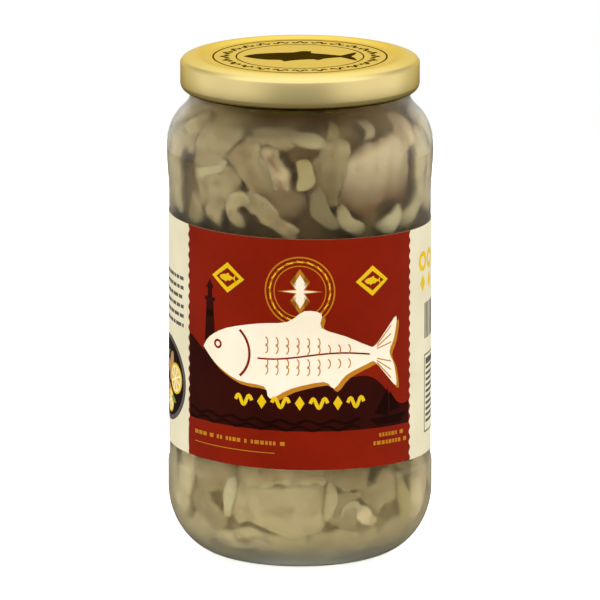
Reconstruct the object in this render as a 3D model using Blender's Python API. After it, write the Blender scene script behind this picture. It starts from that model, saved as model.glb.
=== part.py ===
"""A quart glass jar of herring in wine sauce, with its gold twist-off cap, its wrap-round
paper label and the fish and onion packed inside.

Lengths are in millimetres and angles in degrees; MM turns lengths into metres. The origin is
the centre of the ring that the jar stands on, +Z is up and the label's front faces -Y. An
azimuth is counted from the front, positive towards +X.
"""
import math
import random
from typing import NamedTuple

import bmesh
import bpy

MM = 0.001
GAP = 0.3
SIDES = 48

# Glass: body, heel and base
BODY_RADIUS = 47.2
HEEL_CENTRE = 27.2
HEEL_HEIGHT = 24.0
BASE_RING_INNER = 23.5
BASE_RECESS = 2.0
WALL = 2.45
FLOOR_EDGE = 4.6
FLOOR_CENTRE = 5.8

# Glass: label panel, shoulder, neck and lip
PANEL_RADIUS = 46.65
PANEL_BOTTOM = 36.0
PANEL_STEP = 1.5
SWELL_START = 130.0
SHOULDER_BASE = 147.0
SHOULDER_RADIUS = 47.5
SHOULDER_REACH = 11.0
SHOULDER_RISE = 16.0
SHOULDER_END = 57.6
NECK_RADIUS = 39.1
NECK_BORE = 36.5
NECK_START = 166.0
LIP_TOP = 178.25
LIP_ROUND = 1.2

# Twist-off cap
CAP_RADIUS = 42.6
CAP_TOP = 180.2
CAP_PANEL_RADIUS = 33.4
CAP_PANEL_DROP = 0.85
CAP_CREST_RADIUS = 36.6
CAP_UNDERSIDE = 178.6
CAP_SHEET = 0.8
CURL_START = 170.5
CURL_ROUND = 3.0
CURL_SWEEP = 75.0

# Paper label, put on a little askew: RISE and RIPPLE shape its edges' climb round the jar
LABEL_BOTTOM = 39.4
LABEL_TOP = 122.7
LABEL_THICKNESS = 0.18
LABEL_RISE = 1.325
LABEL_RIPPLE = 0.137

# Packed contents: the pieces' few-sided shape
FISH_RINGS, FISH_SIDES = 3, 8
ONION_RINGS, ONION_SIDES = 4, 6
BENT_RINGS = 12
END_REACH = 0.95
SQUARENESS = 0.7
TAPER_MOST = 0.22
WAIST = 0.1
SNAKE = 0.07
CURL_MOST = 2.0
ONION_BOW = (0.15, 0.35)

# Packed contents: how they lie against the glass and round the core
GLASS_CLEARANCE = 0.5
PRESS_SOFTNESS = 0.7
FLAT_FLOOR_REACH = 32.0
CORE_BOTTOM = 8.0
CORE_TOP = 158.0
CORE_WINDOW_DEPTH = 5.3
CORE_LABEL_DEPTH = 2.6
CORE_LUMP = 0.7
CORE_SIDES = 30
CORE_RINGS = 14
HEAP_TRIANGLES = 7000
CORE_BLEND = 8.0
LOWER_WINDOW_TOP = 40.0
UPPER_WINDOW_BOTTOM = 121.0
PACKING_SEED = 11

# Sizes that the pieces round the back and on the floor are drawn from
BACK_FISH = {"length": (22, 30), "width": (13, 19), "thickness": (7, 9), "depth": (0.4, 1.6)}
BACK_FISH_TURNS = (10, 40, 80, 110, 150)
BACK_ONION = {"turn": (20, 160), "length": (17, 26), "width": (6, 8), "depth": (0.5, 1.2)}
ONION_THICKNESS = 4.0
FLOOR_FISH = {"turn": (0, 180), "length": (24, 30), "width": (16, 20), "depth": (0.4, 1.2)}
FLOOR_THICKNESS = 8.0
BACK_LEAN = 7.0
ROW_JITTER = 3.0


class Cut(NamedTuple):
    """One piece of fish or onion: where it lies against the glass, and its size."""
    kind: str
    azimuth: float
    height: float
    turn: float
    length: float
    width: float
    thickness: float
    depth: float
    lean: float
    bend: float = 0.0


# The pieces that show at the front, from the left edge to the right one
FRONT_UPPER = (
    Cut("fish", -76, 143, 84, 32, 14, 7, 0.6, 6),
    Cut("fish", -63, 156.5, 56, 17, 12, 6, 1, -8),
    Cut("fish", -87, 156, 76, 20, 13, 6, 0.7, 0),
    Cut("fish", -45, 153, 78, 25, 19, 8, 0.5, 3),
    Cut("onion", -45, 145, 22, 17, 4.5, 3.5, 0.5, 0),
    Cut("fish", -42, 139, 8, 22, 15, 7, 1.5, -3),
    Cut("fish", -43, 130.5, 60, 12, 8, 5, 0.9, 0),
    Cut("fish", -58, 129, 72, 15, 9, 6, 2.2, 5),
    Cut("fish", -23, 147, -64, 24, 14, 9, 0.4, -5),
    Cut("fish", -12, 147, -70, 21, 9, 7, 1.4, 4),
    Cut("fish", -13, 158.5, 6, 17, 9, 5, 1.8, 0),
    Cut("fish", -32, 134, 45, 21, 5.4, 5, 0.5, 0, 290),
    Cut("fish", -14, 130, -38, 25, 7, 5, 0.6, 3),
    Cut("fish", -7, 137, -58, 19, 14, 6, 2.6, 6),
    Cut("onion", 3, 158, -20, 16, 6, 4, 0.6, 0),
    Cut("fish", 14, 147, 80, 29, 14, 7, 1.5, 6),
    Cut("onion", 2, 145, 84, 12, 6.5, 4, 0.5, 0),
    Cut("onion", 11, 132, -60, 17, 7, 4, 0.8, 0),
    Cut("fish", 39, 143.5, 4, 34, 26, 9, 0.4, -3),
    Cut("onion", 24, 127.5, -46, 14, 6, 4, 0.6, 0),
    Cut("onion", 48, 126, 24, 14, 7, 4, 0.8, 0),
    Cut("fish", 59, 157, 66, 17, 12, 6, 0.9, 0),
    Cut("onion", 37, 160, 86, 10, 5, 3.5, 1.6, 0),
    Cut("onion", 17, 160.5, 78, 9, 4, 3.5, 1.4, 0),
    Cut("fish", 73, 143, 98, 32, 13, 7, 0.7, -6),
    Cut("fish", 86, 156, 106, 20, 13, 6, 0.7, 0),
    Cut("onion", 64, 128, 40, 18, 7, 4, 1.4, 0),
)
FRONT_LOWER = (
    Cut("fish", -68, 29, 74, 31, 13, 7, 0.5, 4),
    Cut("fish", -44, 35, 30, 20, 15, 7, 0.9, -4),
    Cut("fish", -50, 21, 118, 22, 12, 6, 1.6, 6),
    Cut("onion", -35, 27, 80, 17, 5, 4, 0.5, 0),
    Cut("fish", -11, 23.5, -2, 40, 20, 9, 0.4, 0),
    Cut("fish", -9, 37.5, 1, 36, 13, 8, 0.7, 0),
    Cut("fish", -32, 11, 8, 24, 9, 6, 0.6, 0),
    Cut("onion", 14, 26, 84, 16, 4.5, 4, 0.5, 0),
    Cut("fish", 23, 36, -12, 19, 11, 6, 1.3, 0),
    Cut("onion", 25, 25.5, 0, 16, 2.6, 3.5, 0.6, 0, 280),
    Cut("fish", 22, 23, 66, 15, 12, 6, 1.8, 5),
    Cut("fish", 32, 20.5, -44, 15, 5, 4, 0.5, 0),
    Cut("fish", 42, 28, 24, 19, 13, 7, 1.2, -5),
    Cut("onion", 56, 21, 96, 26, 6, 4, 0.5, 0),
    Cut("fish", 70, 26, 84, 31, 12, 7, 0.6, 5),
    Cut("fish", 22, 9, -6, 30, 15, 7, 0.9, 0),
    Cut("fish", 52, 11, 40, 18, 12, 6, 1, 0),
    Cut("fish", -8, 9, 6, 28, 13, 6, 1.3, 0),
    Cut("fish", -58, 12, 40, 20, 12, 6, 1, 0),
)

# Rows of like pieces round the rest of the jar: height, first azimuth, step, count
BACK_ROWS = (
    (151.0, 92.0, 22.0, 9),
    (133.0, 84.0, 21.0, 10),
    (31.0, 86.0, 21.0, 10),
    (13.0, 78.0, 25.0, 9),
)
# Rings of pieces that lie on the floor: distance from the middle, first azimuth, count
FLOOR_RINGS = ((20.0, 12.0, 5), (0.0, 0.0, 1))

COLOURS = {
    "jar_glass": ("DDE5DC", 0.05, 0.0, 1.0),
    "lid": ("E0C25C", 0.32, 1.0, 0.0),
    "label": ("8F2814", 0.55, 0.0, 0.0),
    "herring_heap": ("AE9C76", 0.45, 0.0, 0.0),
}


def clear_scene():
    for thing in list(bpy.data.objects):
        bpy.data.objects.remove(thing, do_unlink=True)


def linear_colour(code):
    """Turn an sRGB hex code into the linear RGBA that Blender takes."""
    parts = [int(code[i:i + 2], 16) / 255.0 for i in (0, 2, 4)]
    return [c / 12.92 if c <= 0.04045 else ((c + 0.055) / 1.055) ** 2.4 for c in parts] + [1.0]


def make_material(name):
    code, roughness, metallic, transmission = COLOURS[name]
    material = bpy.data.materials.new(name)
    material.use_nodes = True
    shader = material.node_tree.nodes["Principled BSDF"]
    shader.inputs["Base Color"].default_value = linear_colour(code)
    shader.inputs["Roughness"].default_value = roughness
    shader.inputs["Metallic"].default_value = metallic
    shader.inputs["Transmission Weight"].default_value = transmission
    return material


def link_object(name, bm):
    """Make the named object from a bmesh, with its material and smooth shading."""
    mesh = bpy.data.meshes.new(name)
    bm.to_mesh(mesh)
    bm.free()
    thing = bpy.data.objects.new(name, mesh)
    bpy.context.scene.collection.objects.link(thing)
    if name in COLOURS:
        mesh.materials.append(make_material(name))
        mesh.shade_smooth()
        mesh.set_sharp_from_angle(angle=math.radians(40.0))
    return thing


def turn_profile(points, sides=SIDES):
    """Spin a profile of (radius, height) points about Z into a closed bmesh."""
    bm = bmesh.new()
    verts = [bm.verts.new((r * MM, 0.0, z * MM)) for r, z in points]
    edges = [bm.edges.new(pair) for pair in zip(verts, verts[1:])]
    bmesh.ops.spin(bm, geom=verts + edges, cent=(0, 0, 0), axis=(0, 0, 1), dvec=(0, 0, 0),
                   angle=math.tau, steps=sides, use_merge=False, use_duplicate=False)
    bmesh.ops.remove_doubles(bm, verts=bm.verts, dist=1e-6)
    bmesh.ops.recalc_face_normals(bm, faces=bm.faces)
    return bm


def ellipse(centre, radii, start, end, steps):
    """Points along an ellipse from one angle to another, both ends included."""
    angles = [math.radians(start + (end - start) * i / steps) for i in range(steps + 1)]
    return [(centre[0] + radii[0] * math.cos(a), centre[1] + radii[1] * math.sin(a))
            for a in angles]


def bezier(first, control, last, steps):
    """Points along a quadratic curve, without its first point."""
    points = []
    for i in range(1, steps + 1):
        t = i / steps
        weights = ((1 - t) ** 2, 2 * t * (1 - t), t * t)
        points.append(tuple(sum(w * p[k] for w, p in zip(weights, (first, control, last)))
                            for k in (0, 1)))
    return points


def smooth_step(t):
    t = min(max(t, 0.0), 1.0)
    return t * t * (3 - 2 * t)


def swell(inset, steps):
    """The gentle swelling between the label panel and the shoulder."""
    rise = SHOULDER_RADIUS - PANEL_RADIUS
    span = SHOULDER_BASE - SWELL_START
    return [(PANEL_RADIUS - inset + rise * smooth_step(i / steps), SWELL_START + span * i / steps)
            for i in range(steps)]


def shoulder(inset, neck, steps):
    """The shoulder's convex round and the hollow curve that runs from it into the neck."""
    centre = (SHOULDER_RADIUS - SHOULDER_REACH, SHOULDER_BASE)
    round_part = ellipse(centre, (SHOULDER_REACH - inset, SHOULDER_RISE - inset),
                         0, SHOULDER_END, steps)
    (r0, z0), (r1, z1) = round_part[-2:]
    slope = (z1 - z0) / (r1 - r0)
    control = (neck, z1 + slope * (neck - r1))
    return round_part + bezier(round_part[-1], control, (neck, NECK_START), steps // 2)


def jar_inside(detail=1):
    """Inner face of the glass from the middle of the floor up to the neck."""
    inner = PANEL_RADIUS - WALL
    points = [(HEEL_CENTRE * i / (3 * detail), FLOOR_CENTRE + (FLOOR_EDGE - FLOOR_CENTRE)
               * smooth_step(i / (3 * detail))) for i in range(3 * detail)]
    points += ellipse((HEEL_CENTRE, HEEL_HEIGHT), (inner - HEEL_CENTRE, HEEL_HEIGHT - FLOOR_EDGE),
                      -90, 0, 6 * detail)
    points += swell(WALL, 3 * detail)
    return points + shoulder(WALL, NECK_BORE, 4 * detail)


def jar_outside():
    """Outer face of the glass from the middle of the recess under it up to the neck."""
    points = [(0.0, BASE_RECESS), (BASE_RING_INNER * 0.6, BASE_RECESS * 0.85),
              (BASE_RING_INNER - 1.0, BASE_RECESS * 0.3), (BASE_RING_INNER, 0.0)]
    points += ellipse((HEEL_CENTRE, HEEL_HEIGHT), (BODY_RADIUS - HEEL_CENTRE, HEEL_HEIGHT),
                      -90, 0, 7)
    points += [(BODY_RADIUS, PANEL_BOTTOM - PANEL_STEP), (PANEL_RADIUS, PANEL_BOTTOM)]
    return points + swell(0.0, 3) + shoulder(0.0, NECK_RADIUS, 4)


def build_jar():
    lip_mid = (NECK_RADIUS + NECK_BORE) / 2
    lip = ellipse((NECK_RADIUS - LIP_ROUND, LIP_TOP - LIP_ROUND), (LIP_ROUND, LIP_ROUND),
                  0, 90, 2)
    lip += [(lip_mid - LIP_ROUND * 0.5, LIP_TOP), (NECK_BORE, LIP_TOP - LIP_ROUND)]
    return link_object("jar_glass", turn_profile(jar_outside() + lip + jar_inside()[::-1]))


def build_lid():
    panel = CAP_TOP - CAP_PANEL_DROP
    curl_centre = (CAP_RADIUS - CURL_ROUND, CURL_START)
    outside = [(0.0, panel), (CAP_PANEL_RADIUS, panel), (CAP_PANEL_RADIUS + 1.2, CAP_TOP - 0.5),
               (CAP_CREST_RADIUS, CAP_TOP), (CAP_RADIUS - 2.8, CAP_TOP - 0.55),
               (CAP_RADIUS - 0.9, CAP_TOP - 1.3), (CAP_RADIUS, CAP_TOP - 2.5)]
    outside += ellipse(curl_centre, (CURL_ROUND, CURL_ROUND), 0, -CURL_SWEEP, 4)
    inner_curl = CURL_ROUND - CAP_SHEET
    inside = ellipse(curl_centre, (inner_curl, inner_curl), -CURL_SWEEP, 0, 3)
    inside += [(CAP_RADIUS - CAP_SHEET, CAP_TOP - 3.2), (CAP_RADIUS - 1.7, CAP_UNDERSIDE - 0.7),
               (CAP_RADIUS - 3.2, CAP_UNDERSIDE), (0.0, CAP_UNDERSIDE)]
    return link_object("lid", turn_profile(outside + inside))


def label_climb(azimuth):
    """How far the label's edges lie above their mean height at an azimuth in radians."""
    return LABEL_RIPPLE * math.sin(3 * azimuth) - LABEL_RISE * math.sin(azimuth)


def build_label():
    inner = PANEL_RADIUS + GAP * 0.9
    outer = inner + LABEL_THICKNESS
    bm = turn_profile([(inner, LABEL_BOTTOM), (outer, LABEL_BOTTOM), (outer, LABEL_TOP),
                       (inner, LABEL_TOP), (inner, LABEL_BOTTOM)])
    for vert in bm.verts:
        vert.co.z += label_climb(math.atan2(vert.co.x, -vert.co.y)) * MM
    return link_object("label", bm)


class WallPath:
    """The inner face of the glass as a path that can be read at any distance along it."""

    def __init__(self, points):
        self.points = points
        self.marks = [0.0]
        for near, far in zip(points, points[1:]):
            self.marks.append(self.marks[-1] + math.dist(near, far))

    def at(self, along):
        along = min(max(along, 0.0), self.marks[-1] - 1e-6)
        i = max(k for k, mark in enumerate(self.marks) if mark <= along)
        part = (along - self.marks[i]) / (self.marks[i + 1] - self.marks[i])
        return tuple(a + (b - a) * part for a, b in zip(self.points[i], self.points[i + 1]))

    def inward(self, along, reach=1.5):
        """Unit normal towards the contents."""
        (r0, z0), (r1, z1) = self.at(along - reach), self.at(along + reach)
        size = math.hypot(r1 - r0, z1 - z0)
        return -(z1 - z0) / size, (r1 - r0) / size

    def along_at(self, height):
        """Distance along the wall to a height above the heel's foot."""
        i = min(k for k, (radius, z) in enumerate(self.points)
                if z >= height and radius > HEEL_CENTRE)
        low, high = self.points[i - 1][1], self.points[i][1]
        part = min(1.0, (high - height) / (high - low))
        return self.marks[i] - part * (self.marks[i] - self.marks[i - 1])


def press(depth):
    """Keep a depth off the glass, flattening what would pass through it."""
    over = (depth - GLASS_CLEARANCE) / PRESS_SOFTNESS
    return GLASS_CLEARANCE + PRESS_SOFTNESS * (math.log1p(math.exp(over)) if over < 30 else over)


def wall_point(path, azimuth, along, u, v, depth):
    """World point at u across and v up the glass from a spot, at a depth inside the glass."""
    if along < FLAT_FLOOR_REACH:
        x = along * math.sin(azimuth) + u * math.cos(azimuth) + v * math.sin(azimuth)
        y = along * math.cos(azimuth) - u * math.sin(azimuth) + v * math.cos(azimuth)
        azimuth, along = math.atan2(x, y), math.hypot(x, y)
    else:
        azimuth += u / path.at(along)[0]
        along += v
    radius, height = path.at(along)
    toward_axis, up = path.inward(along)
    radius += toward_axis * press(depth)
    height += up * press(depth)
    return (radius * math.sin(azimuth) * MM, -radius * math.cos(azimuth) * MM, height * MM)


def piece_mesh(path, cut, draw):
    """A lofted slab or strip of food that lies against the glass, with few sides."""
    is_onion = cut.kind == "onion"
    rings, around = (ONION_RINGS, ONION_SIDES) if is_onion else (FISH_RINGS, FISH_SIDES)
    rings = BENT_RINGS if cut.bend else rings
    phase = [draw.uniform(0, math.tau) for _ in range(2)]
    taper = draw.uniform(-TAPER_MOST, TAPER_MOST)
    bow = draw.uniform(*ONION_BOW) * cut.width if is_onion else 0.0
    curl = draw.uniform(0.0, CURL_MOST)
    turn, lean = math.radians(cut.turn), math.tan(math.radians(cut.lean))
    spot = (math.radians(cut.azimuth), cut.height)
    bm = bmesh.new()
    loops = []
    for i in range(rings + 1):
        t = END_REACH * math.sin(math.pi * (i / rings - 0.5))
        end = (1 - t ** 4) ** 0.25
        waist = 1 + taper * t + WAIST * math.sin(4.5 * t + phase[0])
        half_width = 0.5 * cut.width * end * waist
        half_depth = 0.5 * cut.thickness * end
        across = SNAKE * cut.width * math.sin(3.4 * t + phase[1]) + bow * (t * t - 0.4)
        loop = []
        for k in range(around):
            angle = math.tau * (k + 0.5) / around
            c, s = math.cos(angle), math.sin(angle)
            q = across + half_width * math.copysign(abs(c) ** SQUARENESS, c)
            p = 0.5 * cut.length * t
            inside = cut.depth + 0.5 * cut.thickness + curl * t * t + lean * q
            inside += half_depth * math.copysign(abs(s) ** SQUARENESS, s)
            if cut.bend:
                reach = cut.length / math.radians(cut.bend)
                way = p / reach
                p = (reach + q) * math.sin(way)
                q = (reach + q) * math.cos(way) - reach
            u = p * math.cos(turn) - q * math.sin(turn)
            v = p * math.sin(turn) + q * math.cos(turn)
            loop.append(bm.verts.new(wall_point(path, *spot, u, v, inside)))
        loops.append(loop)
    for near, far in zip(loops, loops[1:]):
        for k in range(around):
            n = (k + 1) % around
            bm.faces.new((near[k], near[n], far[n], far[k]))
    bm.faces.new(loops[0])
    bm.faces.new(loops[-1])
    bmesh.ops.recalc_face_normals(bm, faces=bm.faces)
    return bm


def drawn(draw, ranges):
    """One random value for each named range."""
    return {name: draw.uniform(*limits) for name, limits in ranges.items()}


def packing(path, draw):
    """Every piece that shows, its height turned into the distance along the wall."""
    cuts = [cut._replace(height=path.along_at(cut.height)) for cut in FRONT_UPPER + FRONT_LOWER]
    for height, first, step, count in BACK_ROWS:
        for i in range(count):
            azimuth = first + step * i + draw.uniform(-ROW_JITTER, ROW_JITTER)
            along = path.along_at(height + draw.uniform(-ROW_JITTER, ROW_JITTER))
            cuts.append(Cut("fish", azimuth, along, turn=draw.choice(BACK_FISH_TURNS),
                            lean=draw.uniform(-BACK_LEAN, BACK_LEAN), **drawn(draw, BACK_FISH)))
            if i % 2:
                cuts.append(Cut("onion", azimuth + 0.5 * step, along, lean=0.0,
                                thickness=ONION_THICKNESS, **drawn(draw, BACK_ONION)))
    for distance, first, count in FLOOR_RINGS:
        for i in range(count):
            cuts.append(Cut("fish", first + 360.0 * i / count, distance, lean=0.0,
                            thickness=FLOOR_THICKNESS, **drawn(draw, FLOOR_FISH)))
    return cuts


def core_mesh(path):
    """The solid middle of the packing: close to the glass only behind the label."""
    points = [(0.0, FLOOR_CENTRE + CORE_WINDOW_DEPTH)]
    first, last = path.along_at(CORE_BOTTOM), path.along_at(CORE_TOP)
    for i in range(CORE_RINGS + 1):
        along = first + (last - first) * i / CORE_RINGS
        height = path.at(along)[1]
        low = smooth_step((height - LOWER_WINDOW_TOP) / CORE_BLEND)
        high = smooth_step((UPPER_WINDOW_BOTTOM - height) / CORE_BLEND)
        depth = CORE_WINDOW_DEPTH + (CORE_LABEL_DEPTH - CORE_WINDOW_DEPTH) * low * high
        radius, height = path.at(along)
        toward_axis, up = path.inward(along)
        points.append((radius + toward_axis * depth, height + up * depth))
    points.append((0.0, points[-1][1] + 1.0))
    bm = turn_profile(points, CORE_SIDES)
    for vert in bm.verts:
        azimuth = math.atan2(vert.co.x, -vert.co.y)
        lump = math.sin(5 * azimuth + vert.co.z / MM / 9.0) * math.cos(3 * azimuth - 1.3)
        scale = 1 + CORE_LUMP * lump / BODY_RADIUS
        vert.co.x *= scale
        vert.co.y *= scale
    return bm


def shells(bm):
    """The separate closed surfaces of a bmesh, each a list of faces."""
    left = set(bm.faces)
    found = []
    while left:
        stack = [left.pop()]
        shell = []
        while stack:
            face = stack.pop()
            shell.append(face)
            near = {other for edge in face.edges for other in edge.link_faces}
            stack.extend(near & left)
            left -= near
        found.append(shell)
    return found


def keep_outer_shell(thing):
    """Drop loose scraps and fill sealed hollows; returns how many triangles are left."""
    bm = bmesh.new()
    bm.from_mesh(thing.data)
    bmesh.ops.triangulate(bm, faces=bm.faces)
    groups = sorted(shells(bm), key=len)
    for group in groups[:-1]:
        bmesh.ops.delete(bm, geom=group, context="FACES")
    count = len(bm.faces)
    bm.to_mesh(thing.data)
    bm.free()
    return count


def build_heap():
    """Fuse the pieces that show to the core with one Boolean union."""
    path = WallPath(jar_inside(detail=6))
    draw = random.Random(PACKING_SEED)
    heap = link_object("herring_heap", core_mesh(path))
    group = bpy.data.collections.new("packed_pieces")
    bpy.context.scene.collection.children.link(group)
    for number, cut in enumerate(packing(path, draw)):
        piece = link_object(f"piece_{number:02d}", piece_mesh(path, cut, draw))
        bpy.context.scene.collection.objects.unlink(piece)
        group.objects.link(piece)
    fuse = heap.modifiers.new("fuse", "BOOLEAN")
    fuse.operation = "UNION"
    fuse.operand_type = "COLLECTION"
    fuse.collection = group
    fuse.solver = "EXACT"
    depsgraph = bpy.context.evaluated_depsgraph_get()
    fused = bpy.data.meshes.new_from_object(heap.evaluated_get(depsgraph))
    heap.modifiers.clear()
    heap.data = fused
    for piece in list(group.objects):
        bpy.data.objects.remove(piece, do_unlink=True)
    bpy.data.collections.remove(group)
    thin_out = heap.modifiers.new("thin_out", "DECIMATE")
    thin_out.ratio = min(1.0, HEAP_TRIANGLES / keep_outer_shell(heap))
    heap.data.shade_smooth()
    heap.data.set_sharp_from_angle(angle=math.radians(40.0))
    return heap


def main():
    clear_scene()
    build_jar()
    build_lid()
    build_label()
    build_heap()


if __name__ == "__main__":
    main()
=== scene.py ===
"""The looks of a jar of herring in wine sauce.

A clear glass jar, shut by a gold lacquered twist-off cap and wrapped in a printed paper label, is
packed with slices of herring and onion in a slightly cloudy sauce. Sizes are in millimetres and
angles in degrees, unless a name says otherwise; MM turns a size into metres. The jar stands on
the origin, +Z is up and the label's front faces -Y. An azimuth is counted from the front,
positive towards +X.
"""
import logging
import math
import random
from collections.abc import Callable, Iterable, Mapping, Sequence
from dataclasses import dataclass, field
from enum import Enum
from functools import partial
from typing import ClassVar, NamedTuple

import bmesh
import bpy
import numpy as np
from mathutils import Matrix, Vector


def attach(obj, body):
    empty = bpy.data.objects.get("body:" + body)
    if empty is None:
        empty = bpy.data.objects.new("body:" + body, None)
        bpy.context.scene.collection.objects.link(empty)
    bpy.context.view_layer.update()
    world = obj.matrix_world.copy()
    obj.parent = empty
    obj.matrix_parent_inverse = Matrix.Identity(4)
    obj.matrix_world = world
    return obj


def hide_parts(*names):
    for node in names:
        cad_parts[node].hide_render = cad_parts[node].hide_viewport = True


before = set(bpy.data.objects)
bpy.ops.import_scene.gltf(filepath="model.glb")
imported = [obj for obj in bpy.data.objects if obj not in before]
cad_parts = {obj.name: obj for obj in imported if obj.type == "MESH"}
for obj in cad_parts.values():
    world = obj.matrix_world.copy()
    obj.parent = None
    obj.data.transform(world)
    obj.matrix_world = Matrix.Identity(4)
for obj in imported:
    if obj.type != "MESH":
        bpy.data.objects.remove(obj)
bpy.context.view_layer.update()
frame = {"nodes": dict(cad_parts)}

MM = 0.001
BODY = "root"
WHITE = "FFFFFF"
BLACK = "000000"
LOG = logging.getLogger("jar")

Point = tuple[float, float]
Stops = tuple[tuple[float, str], ...]
Mesh = bpy.types.Mesh
BMesh = bmesh.types.BMesh
Socket = bpy.types.NodeSocket
Adder = Callable[..., Socket]


def hex_colour(code: str) -> tuple[float, ...]:
    """Turn six hex digits of sRGB into linear red, green, blue and an alpha of one.

    Args:
        code: the hex digits.

    Returns:
        The colour.
    """
    parts = [int(code[i:i + 2], 16) / 255.0 for i in (0, 2, 4)]
    light = [c / 12.92 if c <= 0.04045 else ((c + 0.055) / 1.055) ** 2.4 for c in parts]
    return (*light, 1.0)


def add_node(tree: bpy.types.NodeTree, kind: str, inputs: Mapping | Sequence = (),
             out: str | int = 0, stops: Stops = (), **settings: object) -> Socket | None:
    """Add a node with its settings, its values and its links.

    Args:
        tree: the node tree that it joins.
        kind: Blender's name for the node, short of a leading ShaderNode.
        inputs: a value, a hex colour or the socket that feeds it, for each socket that is set,
            by the socket's name or number or in the sockets' order.
        out: which of the node's outputs is wanted.
        stops: places and hex colours, for a colour ramp.
        settings: the node's own properties.

    Returns:
        The output, or None for a node that has none.
    """
    node = tree.nodes.new(kind if "Node" in kind else f"ShaderNode{kind}")
    for name, value in settings.items():
        setattr(node, name, value)
    for key, value in inputs.items() if isinstance(inputs, Mapping) else enumerate(inputs):
        if isinstance(value, Socket):
            tree.links.new(value, node.inputs[key])
        else:
            node.inputs[key].default_value = hex_colour(value) if isinstance(value, str) else value
    for number, (place, code) in enumerate(stops):
        elements = node.color_ramp.elements
        element = elements[number] if number < 2 else elements.new(place)
        element.position = place
        element.color = hex_colour(code)
    return node.outputs[out] if len(node.outputs) else None


def laid_over(add: Adder, colour: Socket | str, *coats: tuple[Socket, Socket | str]) -> Socket:
    """Lay coats of other colours over a colour, each by its own share.

    Args:
        add: adds a node to the material.
        colour: the colour to start from.
        coats: the share that each coat takes, and its colour.

    Returns:
        The mixed colour.
    """
    for share, coat in coats:
        colour = add("Mix", {0: share, 6: colour, 7: coat}, 2, data_type="RGBA")
    return colour


def bodied(add: Adder, colour: Socket, relief: Socket, strength: float, relief_mm: float,
           **look: object) -> dict[str, Socket]:
    """Give a colour its body: a fine relief and the way that it takes light.

    Args:
        add: adds a node to the material.
        colour: the surface's colour.
        relief: the height that raises it.
        strength: how much of the relief shows.
        relief_mm: how high the relief is.
        look: the shader's other values, with underscores for the spaces in their names.

    Returns:
        The shader, as the material's surface.
    """
    bump = add("Bump", {"Height": relief, "Strength": strength, "Distance": relief_mm * MM})
    values = {name.replace("_", " "): value for name, value in look.items()}
    return {"Surface": add("BsdfPrincipled", {"Base Color": colour, "Normal": bump, **values})}


def smooth_step(t: np.ndarray | float) -> np.ndarray | float:
    """Ease from 0 to 1 with level ends."""
    t = np.clip(t, 0.0, 1.0)
    return t * t * (3 - 2 * t)


class Finish:
    """A material that is made once, on first use, and then shared."""

    name: str
    shelf: ClassVar[dict[str, bpy.types.Material]] = {}

    def shaders(self, add: Adder) -> dict[str, Socket]:
        """Build the shaders and return each with the output's socket that it feeds.

        Args:
            add: adds a node to the material.

        Returns:
            The shader for each of the output's sockets.
        """
        raise NotImplementedError

    def material(self) -> bpy.types.Material:
        """Return the finish's material, building it where it isn't there yet.

        Returns:
            The material.
        """
        if self.name not in self.shelf:
            made = self.shelf[self.name] = bpy.data.materials.new(self.name)
            made.use_nodes = True
            made.node_tree.nodes.clear()
            add = partial(add_node, made.node_tree)
            add("OutputMaterial", self.shaders(add))
        return self.shelf[self.name]


@dataclass(frozen=True)
class ClearBody(Finish):
    """Something clear: it bends what is seen through it and tints what lies deep."""
    name: str
    ior: float
    film: str
    cast: str
    density: float
    mirror: str = BLACK
    haze: float = 0.0
    ripple_mm: float = 0.0

    def shaders(self, add: Adder) -> dict[str, Socket]:
        """Refraction where it is seen, and a straight way for lamp light and bounced light.

        Args:
            add: adds a node to the material.

        Returns:
            The shader for each of the output's sockets.
        """
        look = {"Base Color": WHITE, "Roughness": self.haze, "IOR": self.ior,
                "Transmission Weight": 1.0, "Specular Tint": self.mirror}
        if self.ripple_mm:
            ripple = add("TexNoise", {"Vector": add("TexCoord", out="Object"),
                                      "Scale": 1 / (self.ripple_mm * MM), "Detail": 1.0})
            look["Normal"] = add("Bump", {"Height": ripple, "Strength": 0.12,
                                          "Distance": 0.4 * MM})
        path = add("LightPath").node.outputs
        unseen = add("Math", (path["Is Shadow Ray"], path["Is Diffuse Ray"]), operation="MAXIMUM")
        through = add("BsdfTransparent", (self.film,))
        return {"Surface": add("MixShader", (unseen, add("BsdfPrincipled", look), through)),
                "Volume": add("VolumeAbsorption", (self.cast, self.density))}


# Soda-lime glass blown in a mould, grey-green where it is thick; thin straw wine with fish juices
FLINT_GLASS = ClearBody("flint_glass", ior=1.5, film="F4F7F3", cast="B4C4AE", density=14.0,
                        mirror="585858", ripple_mm=26.0)
WINE_BRINE = ClearBody("wine_brine", ior=1.34, film=WHITE, cast="CDBB86", density=18.0, haze=0.5)


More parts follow.
